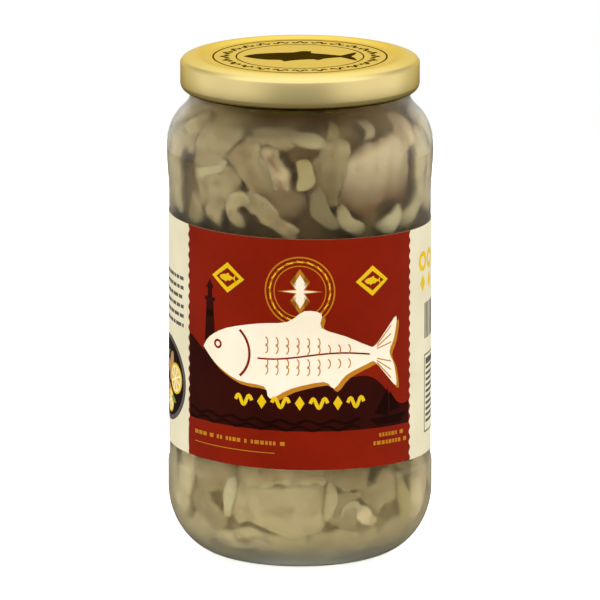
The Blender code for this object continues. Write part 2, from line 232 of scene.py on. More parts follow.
@dataclass(frozen=True)
class GoldLacquer(Finish):
    """Tinplate under a clear gold lacquer, baked on: satin, with a painted sheen that makes it
    paler outside the panel, and painted shade on the hem.
    """
    name: str = "lacquered_tinplate"
    panel: str = "DDC266"
    # crest and skirt: a paler gold, a painted sheen where the lacquer doesn't face up
    crest: str = "DECA86"
    skirt: str = "DCC88A"
    # hem: painted shade on the underside of the curl, below hem_mm
    hem: str = "564410"
    edge: str = "E8D8A2"
    roughness: Point = (0.26, 0.35)
    grain_mm: float = 0.6
    cloud_mm: float = 22.0
    panel_mm: Point = (36.5, 38.5)
    turn_mm: Point = (177.4, 178.8)
    hem_mm: Point = (168.4, 169.2)

    def shaders(self, add: Adder) -> dict[str, Socket]:
        """Tinted metal, more saturated on the panel; the paler gold over the crest and down the
        skirt is a painted sheen, and the dark hem is painted shade.

        Args:
            add: adds a node to the material.

        Returns:
            The shader for each of the output's sockets.
        """
        place = add("TexCoord", out="Object")
        height = add("SeparateXYZ", (place,), "Z")
        flat = add("VectorMath", (place, (1.0, 1.0, 0.0)), operation="MULTIPLY")
        reach = add("VectorMath", (flat,), "Value", operation="LENGTH")
        outside, above, high = [
            add("MapRange", (value, low * MM, top * MM)) for value, (low, top) in
            ((reach, self.panel_mm), (height, self.hem_mm), (height, self.turn_mm))]
        # Painted sheen: paler gold outside the panel and down the skirt; painted shade on the hem
        # below it
        over = laid_over(add, self.panel, (outside, self.crest))
        tint = laid_over(add, self.hem, (above, self.skirt), (high, over))
        grain, cloud = [add("TexNoise", {"Vector": place, "Scale": 1 / (size * MM), "Detail": fine})
                        for size, fine in ((self.grain_mm, 3.0), (self.cloud_mm, 2.0))]
        shade = add("MapRange", (cloud, 0.0, 1.0, 0.95, 1.05))
        tone = add("HueSaturation", {"Color": tint, "Value": shade})
        rough = add("MapRange", (grain, 0.0, 1.0, *self.roughness))
        return bodied(add, tone, grain, 0.08, 0.02, Metallic=1.0, Roughness=rough,
                      Specular_Tint=self.edge)


@dataclass(frozen=True)
class CoatedPaper(Finish):
    """Coated label paper, printed or bare: satin, with the faint tooth of the paper."""
    name: str = "coated_paper"
    ink: str = "DBD4B7"
    shade: str = "D2CAAC"
    roughness: float = 0.5
    gloss: float = 0.03
    tooth_mm: float = 0.35
    cloud_mm: float = 18.0

    def shaders(self, add: Adder) -> dict[str, Socket]:
        """Ink whose strength drifts a little, over a fine bump.

        Args:
            add: adds a node to the material.

        Returns:
            The shader for each of the output's sockets.
        """
        place = add("TexCoord", out="Object")
        cloud, tooth = [add("TexNoise", {"Vector": place, "Scale": 1 / (size * MM), "Detail": fine})
                        for size, fine in ((self.cloud_mm, 4.0), (self.tooth_mm, 2.0))]
        tint = add("ValToRGB", (cloud,), stops=((0.3, self.shade), (0.7, self.ink)))
        return bodied(add, tint, tooth, 0.15, 0.03, Roughness=self.roughness,
                      Specular_IOR_Level=self.gloss)


@dataclass(frozen=True)
class CloudySauce:
    """How the sauce takes over a piece's colour, with painted shade: by depth, at its rim, up the
    jar, under the cap, and a painted reflection at the foot.
    """
    # Depth fade: the sauce's cloudiness, and partly painted shade that darkens the gaps between
    # pieces
    depth_mm: float = 5.0
    most: float = 0.92
    clear_mm: float = 0.8
    # rim and its share: painted shade at each piece's rim, for a rounded look
    rim: Point = (0.72, 1.0)
    rim_share: float = 0.3
    full_height_mm: float = 140.0
    # deep: the sauce's colour by depth, painted darker up the jar towards the cap as shade
    deep: Stops = ((0.0, "C2B284"), (1.0, "5E4320"), (0.28, "9C8853"))
    # Painted shade in the neck under the cap, lightened as painted light towards the sides, most
    # towards -X
    across_mm: Point = (-40.0, 35.0)
    under_cap: Stops = ((0.0, "CCAA62"), (1.0, "7C5E28"), (0.27, "86703C"), (0.4, "5A3A04"),
                        (0.62, "5A3A04"), (0.9, "947440"))
    neck_mm: Point = (155.0, 165.0)
    # Painted shadow of the cap's hem, darker towards the top of the neck
    brim_mm: Point = (163.5, 166.5)
    brim: str = "5E3E06"
    brim_share: float = 0.7
    # foot: a painted reflection of the heel glass, greyer and darker at the bottom
    foot_mm: Point = (5.0, 12.5)
    foot: str = "645A3C"
    foot_share: float = 0.5

    def over(self, add: Adder, colour: Socket) -> Socket:
        """Fade a colour into the sauce, with painted shade at the rim and up the jar, darker still
        as a painted reflection at the foot and as painted shade and a painted shadow in the neck
        under the cap.

        Args:
            add: adds a node to the material.
            colour: the food's own colour.

        Returns:
            The faded colour.
        """
        sunk, rim = [add("Attribute", out="Fac", attribute_name=mark) for mark in ("sunk", "rim")]
        way = add("Math", (sunk, -1 / self.depth_mm, self.clear_mm / self.depth_mm),
                  operation="MULTIPLY_ADD")
        left = add("Math", (way,), operation="EXPONENT")
        # painted shade at the rim
        least = add("MapRange", (rim, *self.rim, 0.0, self.rim_share))
        share = add("MapRange", (left, 1.0, 0.0, least, self.most))
        place = add("SeparateXYZ", (add("TexCoord", out="Object"),)).node.outputs
        level = add("MapRange", (place["Z"], 0.0, self.full_height_mm * MM))
        # The shares: painted shade under the cap, lighter to the sides; a painted cap shadow under
        # its hem; a painted heel reflection at the foot
        aside, neck, brim, foot = [
            add("MapRange", (place[axis], low * MM, top * MM, first, last))
            for axis, (low, top), first, last in (("X", self.across_mm, 0.0, 1.0),
                                                  ("Z", self.neck_mm, 0.0, 1.0),
                                                  ("Z", self.brim_mm, 0.0, self.brim_share),
                                                  ("Z", self.foot_mm, self.foot_share, 0.0))]
        return laid_over(add, colour, (share, add("ValToRGB", (level,), stops=self.deep)),
                         (neck, add("ValToRGB", (aside,), stops=self.under_cap)),
                         (brim, self.brim), (foot, self.foot))


SAUCE = CloudySauce()
WET = {"IOR": 1.12}
TRANSLUCENT = {**WET, "Subsurface_Weight": 0.45, "Subsurface_Radius": (1.0, 0.8, 0.5),
               "Subsurface_Scale": 2.5 * MM}


@dataclass(frozen=True)
class HerringFlesh(Finish):
    """Pickled herring flesh: clouded with brown, pale at its edges, faintly flaked."""
    name: str = "herring_flesh"
    tones: Stops = ((0.0, "87734F"), (0.35, "BEA980"), (0.65, "DAC59D"), (1.0, "E0C49C"))
    cloud: str = "947853"
    band: str = "7E583A"
    rim: str = "E2D1AA"
    flake_mm: float = 3.4
    fibre_mm: float = 0.7

    def shaders(self, add: Adder) -> dict[str, Socket]:
        """Tone by piece, clouded, lighter at the rim and browner along the red muscle.

        Args:
            add: adds a node to the material.

        Returns:
            The shader for each of the output's sockets.
        """
        tone, rim, streak = [add("Attribute", out="Fac", attribute_name=mark)
                             for mark in ("tone", "rim", "streak")]
        grain = add("Attribute", out="Vector", attribute_name="grain")
        patches, spots, fibre = [
            add("TexNoise", {"Vector": grain, "Scale": scale, "Detail": fine, "Distortion": bent})
            for scale, fine, bent in ((0.1, 3.0, 0.8), (0.22, 4.0, 0.0),
                                      (1 / self.fibre_mm, 2.0, 0.0))]
        part = add("SeparateXYZ", (grain,)).node.outputs
        fold = add("Math", (part["Y"],), operation="ABSOLUTE")
        slant = add("Math", (fold, 0.6, part["X"]), operation="MULTIPLY_ADD")
        wander = add("Math", (spots, 3.5, slant), operation="MULTIPLY_ADD")
        turn = add("Math", (wander, math.tau / self.flake_mm), operation="MULTIPLY")
        wave = add("Math", (turn,), operation="SINE")
        dark, thin, line, near, patch, mottle = [add("MapRange", values) for values in (
            (patches, 0.46, 0.68, 0.0, 0.6), (rim, 0.55, 0.8, 0.0, 0.25),
            (wave, 0.2, 1.0, 0.0, 0.07), (fold, 0.4, 3.2, 1.0, 0.0), (spots, 0.35, 0.6),
            (fibre, 0.0, 1.0, 0.93, 1.07))]
        red = add("Math", (near, patch), operation="MULTIPLY")
        red = add("Math", (red, streak), operation="MULTIPLY")
        veined = laid_over(add, add("ValToRGB", (tone,), stops=self.tones), (dark, self.cloud),
                           (thin, self.rim), (line, self.band), (red, self.band))
        flesh = add("HueSaturation", {"Color": veined, "Value": mottle})
        # The sauce over the flesh adds painted shade, a painted cap shadow and a painted heel
        # reflection
        return bodied(add, SAUCE.over(add, flesh), fibre, 0.4, 0.25, Roughness=0.5, **TRANSLUCENT)


@dataclass(frozen=True)
class HerringSkin(Finish):
    """The skin side of a herring fillet: dull silver that darkens to the back, browned edges."""
    name: str = "herring_skin"
    belly: str = "D6BF9A"
    back: str = "846847"
    edge: str = "8C5F40"
    flesh: str = "D8C49C"
    scale_mm: float = 1.8

    def shaders(self, add: Adder) -> dict[str, Socket]:
        """Silver to brown across the piece on its outer face, pale flesh on its cut sides.

        Args:
            add: adds a node to the material.

        Returns:
            The shader for each of the output's sockets.
        """
        tone, rim = [add("Attribute", out="Fac", attribute_name=mark) for mark in ("tone", "rim")]
        grain = add("Attribute", out="Vector", attribute_name="grain")
        part = add("SeparateXYZ", (grain,)).node.outputs
        cloud = add("TexNoise", {"Vector": grain, "Scale": 0.16, "Detail": 5.0})
        drift = add("Math", (cloud, 9.0, part["Y"]), operation="MULTIPLY_ADD")
        scale = add("TexVoronoi", {"Vector": grain, "Scale": 1 / self.scale_mm})
        across, fleck, dusk, burn, cut = [add("MapRange", values) for values in (
            (drift, -6.0, 11.0), (scale, 0.0, 1.0, 1.06, 0.9), (tone, 0.5, 1.0, 0.0, 0.9),
            (rim, 0.55, 0.8, 0.0, 0.35), (part["Z"], -0.35, -0.1))]
        side = add("ValToRGB", (across,), stops=((0.0, self.back), (1.0, self.belly)))
        dusky = laid_over(add, side, (dusk, self.back))
        skin = add("HueSaturation", {"Color": dusky, "Value": fleck})
        pale = laid_over(add, skin, (burn, self.edge), (cut, self.flesh))
        # The sauce over the skin adds painted shade, a painted cap shadow and a painted heel
        # reflection
        return bodied(add, SAUCE.over(add, pale), scale, 0.2, 0.12, Metallic=0.1, Roughness=0.45,
                      **TRANSLUCENT)


@dataclass(frozen=True)
class PickledOnion(Finish):
    """Onion layers softened in vinegar: pale, a little glassy, ribbed along their length."""
    name: str = "pickled_onion"
    tones: Stops = ((0.0, "8E7C5A"), (1.0, "A6915A"), (0.3, "BCAA82"), (0.5, "CBBC96"))
    rib_mm: float = 1.7

    def shaders(self, add: Adder) -> dict[str, Socket]:
        """Tone by strip, with faint ribs.

        Args:
            add: adds a node to the material.

        Returns:
            The shader for each of the output's sockets.
        """
        tone = add("Attribute", out="Fac", attribute_name="tone")
        base = add("ValToRGB", (tone,), stops=self.tones)
        grain = add("Attribute", out="Vector", attribute_name="grain")
        across = add("SeparateXYZ", (grain,), "Y")
        turn = add("Math", (across, math.tau / self.rib_mm), operation="MULTIPLY")
        wave = add("Math", (turn,), operation="SINE")
        rib = add("MapRange", (wave, -1.0, 1.0, 0.98, 1.01))
        layer = add("HueSaturation", {"Color": base, "Value": rib})
        # The sauce over the onion adds painted shade, a painted cap shadow and a painted heel
        # reflection
        sunken = CloudySauce(depth_mm=6.0, most=0.9).over(add, layer)
        return bodied(add, sunken, wave, 0.06, 0.08, Roughness=0.35, **TRANSLUCENT)


@dataclass(frozen=True)
class PackedMiddle(Finish):
    """The fish deep in the jar, seen only through the cloudy sauce: brown-olive and soft."""
    name: str = "packed_middle"
    dark: str = "7E6A46"
    light: str = "9E8A60"
    lump_mm: float = 9.0

    def shaders(self, add: Adder) -> dict[str, Socket]:
        """Soft patches of tone, faded into the sauce and its painted shade.

        Args:
            add: adds a node to the material.

        Returns:
            The shader for each of the output's sockets.
        """
        patch = add("TexNoise", {"Vector": add("TexCoord", out="Object"),
                                 "Scale": 1 / (self.lump_mm * MM), "Detail": 3.0})
        tint = add("ValToRGB", (patch,), stops=((0.35, self.dark), (0.65, self.light)))
        # The sauce over the middle adds painted shade, a painted cap shadow and a painted heel
        # reflection
        return bodied(add, SAUCE.over(add, tint), patch, 0.5, 1.5, Roughness=0.6, **WET)


@dataclass(frozen=True)
class StudioPaper(Finish):
    """The white paper that the jar stands on, which hardly mirrors in the glass."""
    name: str = "studio_paper"
    colour: str = WHITE
    mirrored: str = "77746C"
    bounced: str = "EEECE6"
    glow: float = 0.6
    bounced_glow: float = 0.27

    def shaders(self, add: Adder) -> dict[str, Socket]:
        """Bright matt white where it is seen, grey for bounced light, dim in reflections.

        Args:
            add: adds a node to the material.

        Returns:
            The shader for each of the output's sockets.
        """
        path = add("LightPath").node.outputs
        seen = add("Math", (path["Is Camera Ray"], path["Is Transmission Ray"]),
                   operation="MAXIMUM")
        tint = laid_over(add, self.mirrored, (path["Is Diffuse Ray"], self.bounced),
                         (seen, self.colour))
        bounced = add("Math", (path["Is Diffuse Ray"], self.bounced_glow), operation="MULTIPLY")
        glow = add("Math", (seen, self.glow, bounced), operation="MULTIPLY_ADD")
        return {"Surface": add("BsdfPrincipled", {
            "Base Color": tint, "Roughness": 0.9, "Specular IOR Level": 0.0,
            "Emission Color": WHITE, "Emission Strength": glow})}


class Ink(Enum):
    """The label's paper and its printing inks, each with the tone that it drifts to."""
    CREAM = CoatedPaper()
    RED = CoatedPaper("ink_red", "821A04", "751603")
    MAROON = CoatedPaper("ink_maroon", "330A04", "290703")
    DEEP = CoatedPaper("ink_deep_maroon", "1F0502", "190401")
    GOLD = CoatedPaper("ink_gold", "B9791F", "A96C18")
    YELLOW = CoatedPaper("ink_yellow", "E0BC1C", "D3AD12")
    IVORY = CoatedPaper("ink_ivory", "F1E6D0", "E8DBC2")
    GREY = CoatedPaper("ink_grey", "5B5650", "524D48")
    TAN = CoatedPaper("ink_tan", "B48C5C", "A57E50")
    LEAF = CoatedPaper("ink_leaf", "7C8A3A", "6E7C30")
    UMBER = CoatedPaper("ink_umber", "3E2D04", "342502", gloss=0.0)


def placed(name: str, data: bpy.types.ID) -> bpy.types.Object:
    """Make an object of some data and put it into the scene.

    Args:
        name: the object's name.
        data: its mesh or camera.

    Returns:
        The object.
    """
    thing = bpy.data.objects.new(name, data)
    bpy.context.scene.collection.objects.link(thing)
    return thing


def new_piece(name: str, mesh: Mesh, finish: Finish, slot: str, *nodes: str,
              sharp: float = 40.0) -> None:
    """Put a mesh into the scene as a finished piece of the jar and fasten it to the jar's body.

    Args:
        name: the piece's name.
        mesh: its mesh, in place.
        finish: what it is made of.
        slot: the record's material slot that it belongs to; not used.
        nodes: the CAD nodes that it stands for.
        sharp: the angle past which an edge stays crisp.
    """
    piece = placed(name, mesh)
    mesh.name = name
    mesh.materials.clear()
    mesh.materials.append(finish.material())
    mesh.polygons.foreach_set("material_index", [0] * len(mesh.polygons))
    mesh.shade_smooth()
    mesh.set_sharp_from_angle(angle=math.radians(sharp))
    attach(piece, BODY)
    if nodes:
        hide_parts(*nodes)
    mesh.calc_loop_triangles()
    LOG.info("%s: %d triangles of %s", name, len(mesh.loop_triangles), finish.name)


def mesh_from(name: str, bm: BMesh) -> Mesh:
    """Keep a bmesh as a mesh with its faces pointing out, and free it.

    Args:
        name: the mesh's name.
        bm: the shape.

    Returns:
        The mesh.
    """
    bmesh.ops.recalc_face_normals(bm, faces=bm.faces)
    mesh = bpy.data.meshes.new(name)
    bm.to_mesh(mesh)
    bm.free()
    return mesh


def joined(meshes: Sequence[Mesh]) -> Mesh:
    """Put several meshes of one finish into the first of them and remove the others.

    Args:
        meshes: the meshes, one or more.

    Returns:
        The first one, which now holds all.
    """
    bm = bmesh.new()
    for mesh in meshes:
        bm.from_mesh(mesh)
    bm.to_mesh(meshes[0])
    bm.free()
    for mesh in meshes[1:]:
        bpy.data.meshes.remove(mesh)
    return meshes[0]


def turned(name: str, outline: Sequence[Point], sides: int) -> Mesh:
    """Turn an outline of (radius, height) points about Z into a closed mesh.

    Args:
        name: the mesh's name.
        outline: the points, from the axis and back to it, or a loop that ends where it begins.
        sides: how many flats go round.

    Returns:
        The mesh.
    """
    bm = bmesh.new()
    ways = [(math.sin(math.tau * k / sides), -math.cos(math.tau * k / sides))
            for k in range(sides)]
    loop = outline[0] == outline[-1]
    rings = []
    for r, z in outline[:-1] if loop else outline:
        spots = ways if r > 1e-6 else ways[:1]
        rings.append([bm.verts.new((x * r * MM, y * r * MM, z * MM)) for x, y in spots])
    for near, far in zip(rings, rings[1:] + rings[:1] if loop else rings[1:]):
        for k in range(sides):
            n = (k + 1) % sides
            corners = (near[k % len(near)], near[n % len(near)], far[n % len(far)],
                       far[k % len(far)])
            bm.faces.new(list(dict.fromkeys(corners)))
    return mesh_from(name, bm)


def row_tree() -> bpy.types.NodeTree:
    """Geometry Nodes that set copies of one small part in a row round the jar.

    Returns:
        The tree: the part, modelled with +X outwards and +Y anticlockwise, at even steps of
        azimuth, its height following the label's climb where Climb is one.
    """
    tree = bpy.data.node_groups.new("row_round_jar", "GeometryNodeTree")
    for label, kind in {"Part": "Object", "Count": "Int", "Radius": "Float", "Height": "Float",
                        "Start": "Float", "Step": "Float", "Climb": "Float",
                        "Finish": "Material"}.items():
        tree.interface.new_socket(label, in_out="INPUT", socket_type=f"NodeSocket{kind}")
    tree.interface.new_socket("Geometry", in_out="OUTPUT", socket_type="NodeSocketGeometry")
    add = partial(add_node, tree)
    given = add("NodeGroupInput").node.outputs
    line = add("GeometryNodeMeshLine", {"Count": given["Count"]})
    azimuth = add("Math", (add("GeometryNodeInputIndex"), given["Step"], given["Start"]),
                  operation="MULTIPLY_ADD")
    sine, cosine = [add("Math", (azimuth,), operation=name) for name in ("SINE", "COSINE")]
    towards = add("Math", (given["Radius"], -1.0), operation="MULTIPLY")
    x, y = [add("Math", pair, operation="MULTIPLY")
            for pair in ((sine, given["Radius"]), (cosine, towards))]
    thrice = add("Math", (azimuth, 3.0), operation="MULTIPLY")
    wave = add("Math", (thrice,), operation="SINE")
    ripple = add("Math", (wave, PaperLabel.ripple * MM), operation="MULTIPLY")
    climb = add("Math", (sine, -PaperLabel.rise * MM, ripple), operation="MULTIPLY_ADD")
    z = add("Math", (climb, given["Climb"], given["Height"]), operation="MULTIPLY_ADD")
    spread = add("GeometryNodeSetPosition",
                 {"Geometry": line, "Position": add("CombineXYZ", (x, y, z))})
    outwards = add("Math", (azimuth, math.pi / 2), operation="SUBTRACT")
    copies = add("GeometryNodeInstanceOnPoints", {
        "Points": spread, "Rotation": add("CombineXYZ", {"Z": outwards}),
        "Instance": add("GeometryNodeObjectInfo", {"Object": given["Part"]}, "Geometry")})
    whole = add("GeometryNodeRealizeInstances", {"Geometry": copies})
    dressed = add("GeometryNodeSetMaterial", {"Geometry": whole, "Material": given["Finish"]})
    add("NodeGroupOutput", (dressed,))
    return tree


def row_round(name: str, part: BMesh, finish: Finish, count: int, radius: float, height: float,
              start: float, step: float, climb: bool = False) -> Mesh:
    """Set copies of a small part in a row round the jar.

    Args:
        name: the mesh's name.
        part: the part in millimetres, with +X outwards; it is freed.
        finish: what it is made of.
        count: how many copies.
        radius: their distance from the axis.
        height: their height.
        start: the first one's azimuth.
        step: the azimuth between two.
        climb: whether the row follows the label's edges.

    Returns:
        The row's plain mesh.
    """
    tree = bpy.data.node_groups.get("row_round_jar") or row_tree()
    bmesh.ops.scale(part, vec=(MM, MM, MM), verts=part.verts)
    thing = placed(f"{name}_part", mesh_from(f"{name}_part", part))
    rider = placed(name, bpy.data.meshes.new(f"{name}_rider"))
    modifier = rider.modifiers.new("row", "NODES")
    modifier.node_group = tree
    sockets = {item.name: item.identifier for item in tree.interface.items_tree
               if item.item_type == "SOCKET" and item.in_out == "INPUT"}
    values = {"Part": thing, "Count": count, "Radius": radius * MM, "Height": height * MM,
              "Start": math.radians(start), "Step": math.radians(step), "Climb": float(climb),
              "Finish": finish.material()}
    for label, value in values.items():
        modifier[sockets[label]] = value
    depsgraph = bpy.context.evaluated_depsgraph_get()
    mesh = bpy.data.meshes.new_from_object(rider.evaluated_get(depsgraph))
    rider.modifiers.clear()
    for loose in (thing, rider):
        bpy.data.objects.remove(loose, do_unlink=True)
    return mesh


def arc(centre: Point, radii: Point, start: float, end: float, steps: int) -> list[Point]:
    """Points along an ellipse from one angle to another, both ends included."""
    angles = [math.radians(start + (end - start) * i / steps) for i in range(steps + 1)]
    return [(centre[0] + radii[0] * math.cos(a), centre[1] + radii[1] * math.sin(a))
            for a in angles]


def hollow_curve(first: Point, control: Point, last: Point, steps: int) -> list[Point]:
    """Points along a quadratic curve, without its first point."""
    a, b, c = np.array(first), np.array(control), np.array(last)
    return [tuple((1 - t) ** 2 * a + 2 * t * (1 - t) * b + t * t * c)
            for t in np.arange(1, steps + 1) / steps]


def through(points: Sequence[Point], steps: int) -> list[Point]:
    """A smooth line through points, both ends included.

    Args:
        points: the points to pass.
        steps: how many pieces each span is cut into.

    Returns:
        The line's points.
    """
    line = [points[0]]
    padded = np.array([points[0], *points, points[-1]])
    for a, b, c, d in zip(padded, padded[1:], padded[2:], padded[3:]):
        line += [tuple(0.5 * (2 * b + (c - a) * t + (2 * a - 5 * b + 4 * c - d) * t * t
                              + (3 * b - a - 3 * c + d) * t ** 3))
                 for t in np.arange(1, steps + 1) / steps]
    return line


@dataclass
class GlassJar:
    """The moulded jar: base, heel, label panel, shoulder, neck and lip."""
    sides: int = 192
    body_radius: float = 47.2
    heel_centre: float = 27.2
    heel_height: float = 24.0
    base_ring_inner: float = 23.5
    base_recess: float = 2.0
    wall: float = 2.45
    floor_edge: float = 4.6
    floor_centre: float = 5.8
    panel_radius: float = 46.65
    panel_bottom: float = 36.0
    panel_step: float = 3.5
    swell_start: float = 130.0
    shoulder_base: float = 147.0
    shoulder_radius: float = 47.5
    shoulder_reach: float = 11.0
    shoulder_rise: float = 16.0
    shoulder_end: float = 57.6
    neck_radius: float = 39.1
    neck_bore: float = 36.5
    neck_start: float = 166.0
    lip_top: float = 178.25
    lip_round: float = 1.2
    bead_height: float = 169.6
    bead_size: Point = (0.55, 0.9)

    def swell(self, inset: float, steps: int) -> list[Point]:
        """The gentle swelling between the label panel and the shoulder.

        Args:
            inset: how far inside the outer face the line runs.
            steps: how many points it has.

        Returns:
            Points of radius and height.
        """
        rise = self.shoulder_radius - self.panel_radius
        span = self.shoulder_base - self.swell_start
        return [(self.panel_radius - inset + rise * float(smooth_step(i / steps)),
                 self.swell_start + span * i / steps) for i in range(steps)]

    def shoulder(self, inset: float, neck: float, steps: int) -> list[Point]:
        """The shoulder's convex round and the hollow curve that runs from it into the neck.

        Args:
            inset: how far inside the outer face the line runs.
            neck: the neck's radius there.
            steps: how finely the round is divided.

        Returns:
            Points of radius and height.
        """
        centre = (self.shoulder_radius - self.shoulder_reach, self.shoulder_base)
        radii = (self.shoulder_reach - inset, self.shoulder_rise - inset)
        round_part = arc(centre, radii, 0, self.shoulder_end, steps)
        (r0, z0), (r1, z1) = round_part[-2:]
        control = (neck, z1 + (z1 - z0) / (r1 - r0) * (neck - r1))
        return round_part + hollow_curve(round_part[-1], control, (neck, self.neck_start),
                                         steps // 2)

    def inside(self, detail: int = 6, inset: float = 0.0) -> list[Point]:
        """Inner face of the glass from the middle of the floor up to the neck.

        Args:
            detail: how finely its rounds are divided.
            inset: how far inside the line runs, or within the glass if negative.

        Returns:
            Points of radius and height.
        """
        inner = self.panel_radius - self.wall - inset
        steps = 3 * detail
        drop = self.floor_edge - self.floor_centre
        points = [(self.heel_centre * i / steps,
                   self.floor_centre + inset + drop * float(smooth_step(i / steps)))
                  for i in range(steps)]
        points += arc((self.heel_centre, self.heel_height),
                      (inner - self.heel_centre, self.heel_height - self.floor_edge - inset),
                      -90, 0, 6 * detail)
        points += self.swell(self.wall + inset, steps)
        return points + self.shoulder(self.wall + inset, self.neck_bore - inset, 4 * detail)

    def outside(self) -> list[Point]:
        """Outer face of the glass from the middle of the recess under it up to the neck.

        Returns:
            Points of radius and height.
        """
        points = [(self.base_ring_inner * t, self.base_recess * (1 - t ** 6))
                  for t in np.linspace(0.0, 1.0, 12)]
        points += arc((self.heel_centre, self.heel_height),
                      (self.body_radius - self.heel_centre, self.heel_height), -90, 0, 40)
        step = self.body_radius - self.panel_radius
        points += [(self.body_radius - step * float(smooth_step(t)),
                    self.panel_bottom - self.panel_step * (1 - t))
                   for t in np.linspace(0.0, 1.0, 8)]
        points += self.swell(0.0, 14)
        return points + self.shoulder(0.0, self.neck_radius, 24)

    def neck(self) -> list[Point]:
        """The bead round the neck just under the cap, and the rim that the cap seals on.

        Returns:
            Points of radius and height.
        """
        points = arc((self.neck_radius, self.bead_height), self.bead_size, -90, 90, 8)
        middle = (self.neck_radius + self.neck_bore) / 2
        size = self.lip_round
        points += arc((self.neck_radius - size, self.lip_top - size), (size, size), 0, 90, 8)
        return points + [(middle - size / 2, self.lip_top),
                         (self.neck_bore, self.lip_top - size)]

    def build(self) -> None:
        """Make the jar."""
        outline = self.outside() + self.neck() + self.inside()[::-1]
        new_piece("glass_jar", turned("glass_jar", outline, self.sides), FLINT_GLASS, "glass",
                  "jar_glass")


class Figure(NamedTuple):
    """A flat shape: its corners in millimetres and the faces that join them."""
    points: list[Point]
    faces: list[tuple[int, ...]]


def moved(figure: Figure, x: float, y: float, turn: float = 0.0) -> Figure:
    """The figure, turned and then shifted."""
    c, s = math.cos(math.radians(turn)), math.sin(math.radians(turn))
    return Figure([(x + c * a - s * b, y + s * a + c * b) for a, b in figure.points],
                  figure.faces)


def plain_figure(points: Sequence[Point]) -> Figure:
    """A figure of one face."""
    return Figure(list(points), [tuple(range(len(points)))])


def bar_figure(x0: float, y0: float, x1: float, y1: float) -> Figure:
    """An upright rectangle between two corners."""
    return plain_figure([(x0, y0), (x1, y0), (x1, y1), (x0, y1)])


def round_figure(centre: Point, radii: Point, sides: int = 40) -> Figure:
    """A filled ellipse."""
    return plain_figure(arc(centre, radii, 0, 360 * (1 - 1 / sides), sides - 1))


def lozenge_figure(width: float, height: float) -> Figure:
    """A lozenge on its point."""
    return plain_figure([(width / 2, 0.0), (0.0, height / 2), (-width / 2, 0.0),
                         (0.0, -height / 2)])


def stroke_figure(points: Sequence[Point], width: float, closed: bool = False) -> Figure:
    """A line of even width along points, as a strip of joined faces.

    Args:
        points: the line's middle.
        width: how wide it is drawn.
        closed: whether the last point joins the first.

    Returns:
        The strip.
    """
    line = np.array(points)
    if closed:
        ahead, behind = np.roll(line, -1, 0), np.roll(line, 1, 0)
    else:
        ahead, behind = np.vstack([line[1:], line[-1:]]), np.vstack([line[:1], line[:-1]])
    along = ahead - behind
    along = along / np.linalg.norm(along, axis=1)[:, None]
    side = np.column_stack([-along[:, 1], along[:, 0]]) * width / 2
    count = len(line)
    corners = [tuple(p) for p in np.vstack([line + side, line - side])]
    spans = count if closed else count - 1
    faces = [(i, i + count, (i + 1) % count + count, (i + 1) % count) for i in range(spans)]
    return Figure(corners, faces)


def ring_figure(centre: Point, inner: float, outer: float, sides: int = 64) -> Figure:
    """A flat ring.

    Args:
        centre: its middle.
        inner: the hole's radius.
        outer: the outer radius.
        sides: how many flats go round.

    Returns:
        The ring.
    """
    middle = (inner + outer) / 2
    line = arc(centre, (middle, middle), 0, 360 * (1 - 1 / sides), sides - 1)
    return stroke_figure(line, outer - inner, closed=True)


def wave_figure(length: float, height: float, width: float) -> Figure:
    """A rolling wave line of one and a half crests."""
    line = [(length * (t - 0.5), 0.5 * height * math.sin(3 * math.pi * t))
            for t in np.linspace(0.0, 1.0, 19)]
    return stroke_figure(line, width)


def fish_figure(length: float, height: float) -> Figure:
    """A plain fish seen from its side, its head to the left.

    Args:
        length: from its mouth to the tips of its tail.
        height: how tall it is, short of its fins.

    Returns:
        The fish.
    """
    back = [(-0.5, 0.0), (-0.46, 0.16), (-0.36, 0.33), (-0.2, 0.45), (-0.06, 0.5),
            (0.02, 0.66), (0.1, 0.62), (0.1, 0.42), (0.22, 0.28), (0.33, 0.13), (0.37, 0.12),
            (0.44, 0.34), (0.5, 0.5), (0.485, 0.2), (0.455, 0.0)]
    belly = [(0.485, -0.2), (0.5, -0.5), (0.44, -0.34), (0.37, -0.12), (0.33, -0.13),
             (0.22, -0.27), (0.16, -0.46), (0.11, -0.36), (-0.04, -0.46), (-0.14, -0.62),
             (-0.17, -0.45), (-0.3, -0.4), (-0.42, -0.22), (-0.5, 0.0)]
    line = through([(x * length, y * height) for x, y in back + belly], 3)
    return plain_figure(line[:-1])


def star_figure(long: float, short: float, waist: float, rays: int = 8) -> Figure:
    """A compass star whose rays are long and short in turn.

    Args:
        long: the long rays' reach.
        short: the short rays' reach.
        waist: the reach between two rays.
        rays: how many there are.

    Returns:
        The star.
    """
    points = []
    for i in range(rays):
        angle = math.tau * i / rays
        reach = short if i % 2 else long
        points.append((reach * math.cos(angle), reach * math.sin(angle)))
        angle += math.pi / rays
        points.append((waist * math.cos(angle), waist * math.sin(angle)))
    return plain_figure(points)


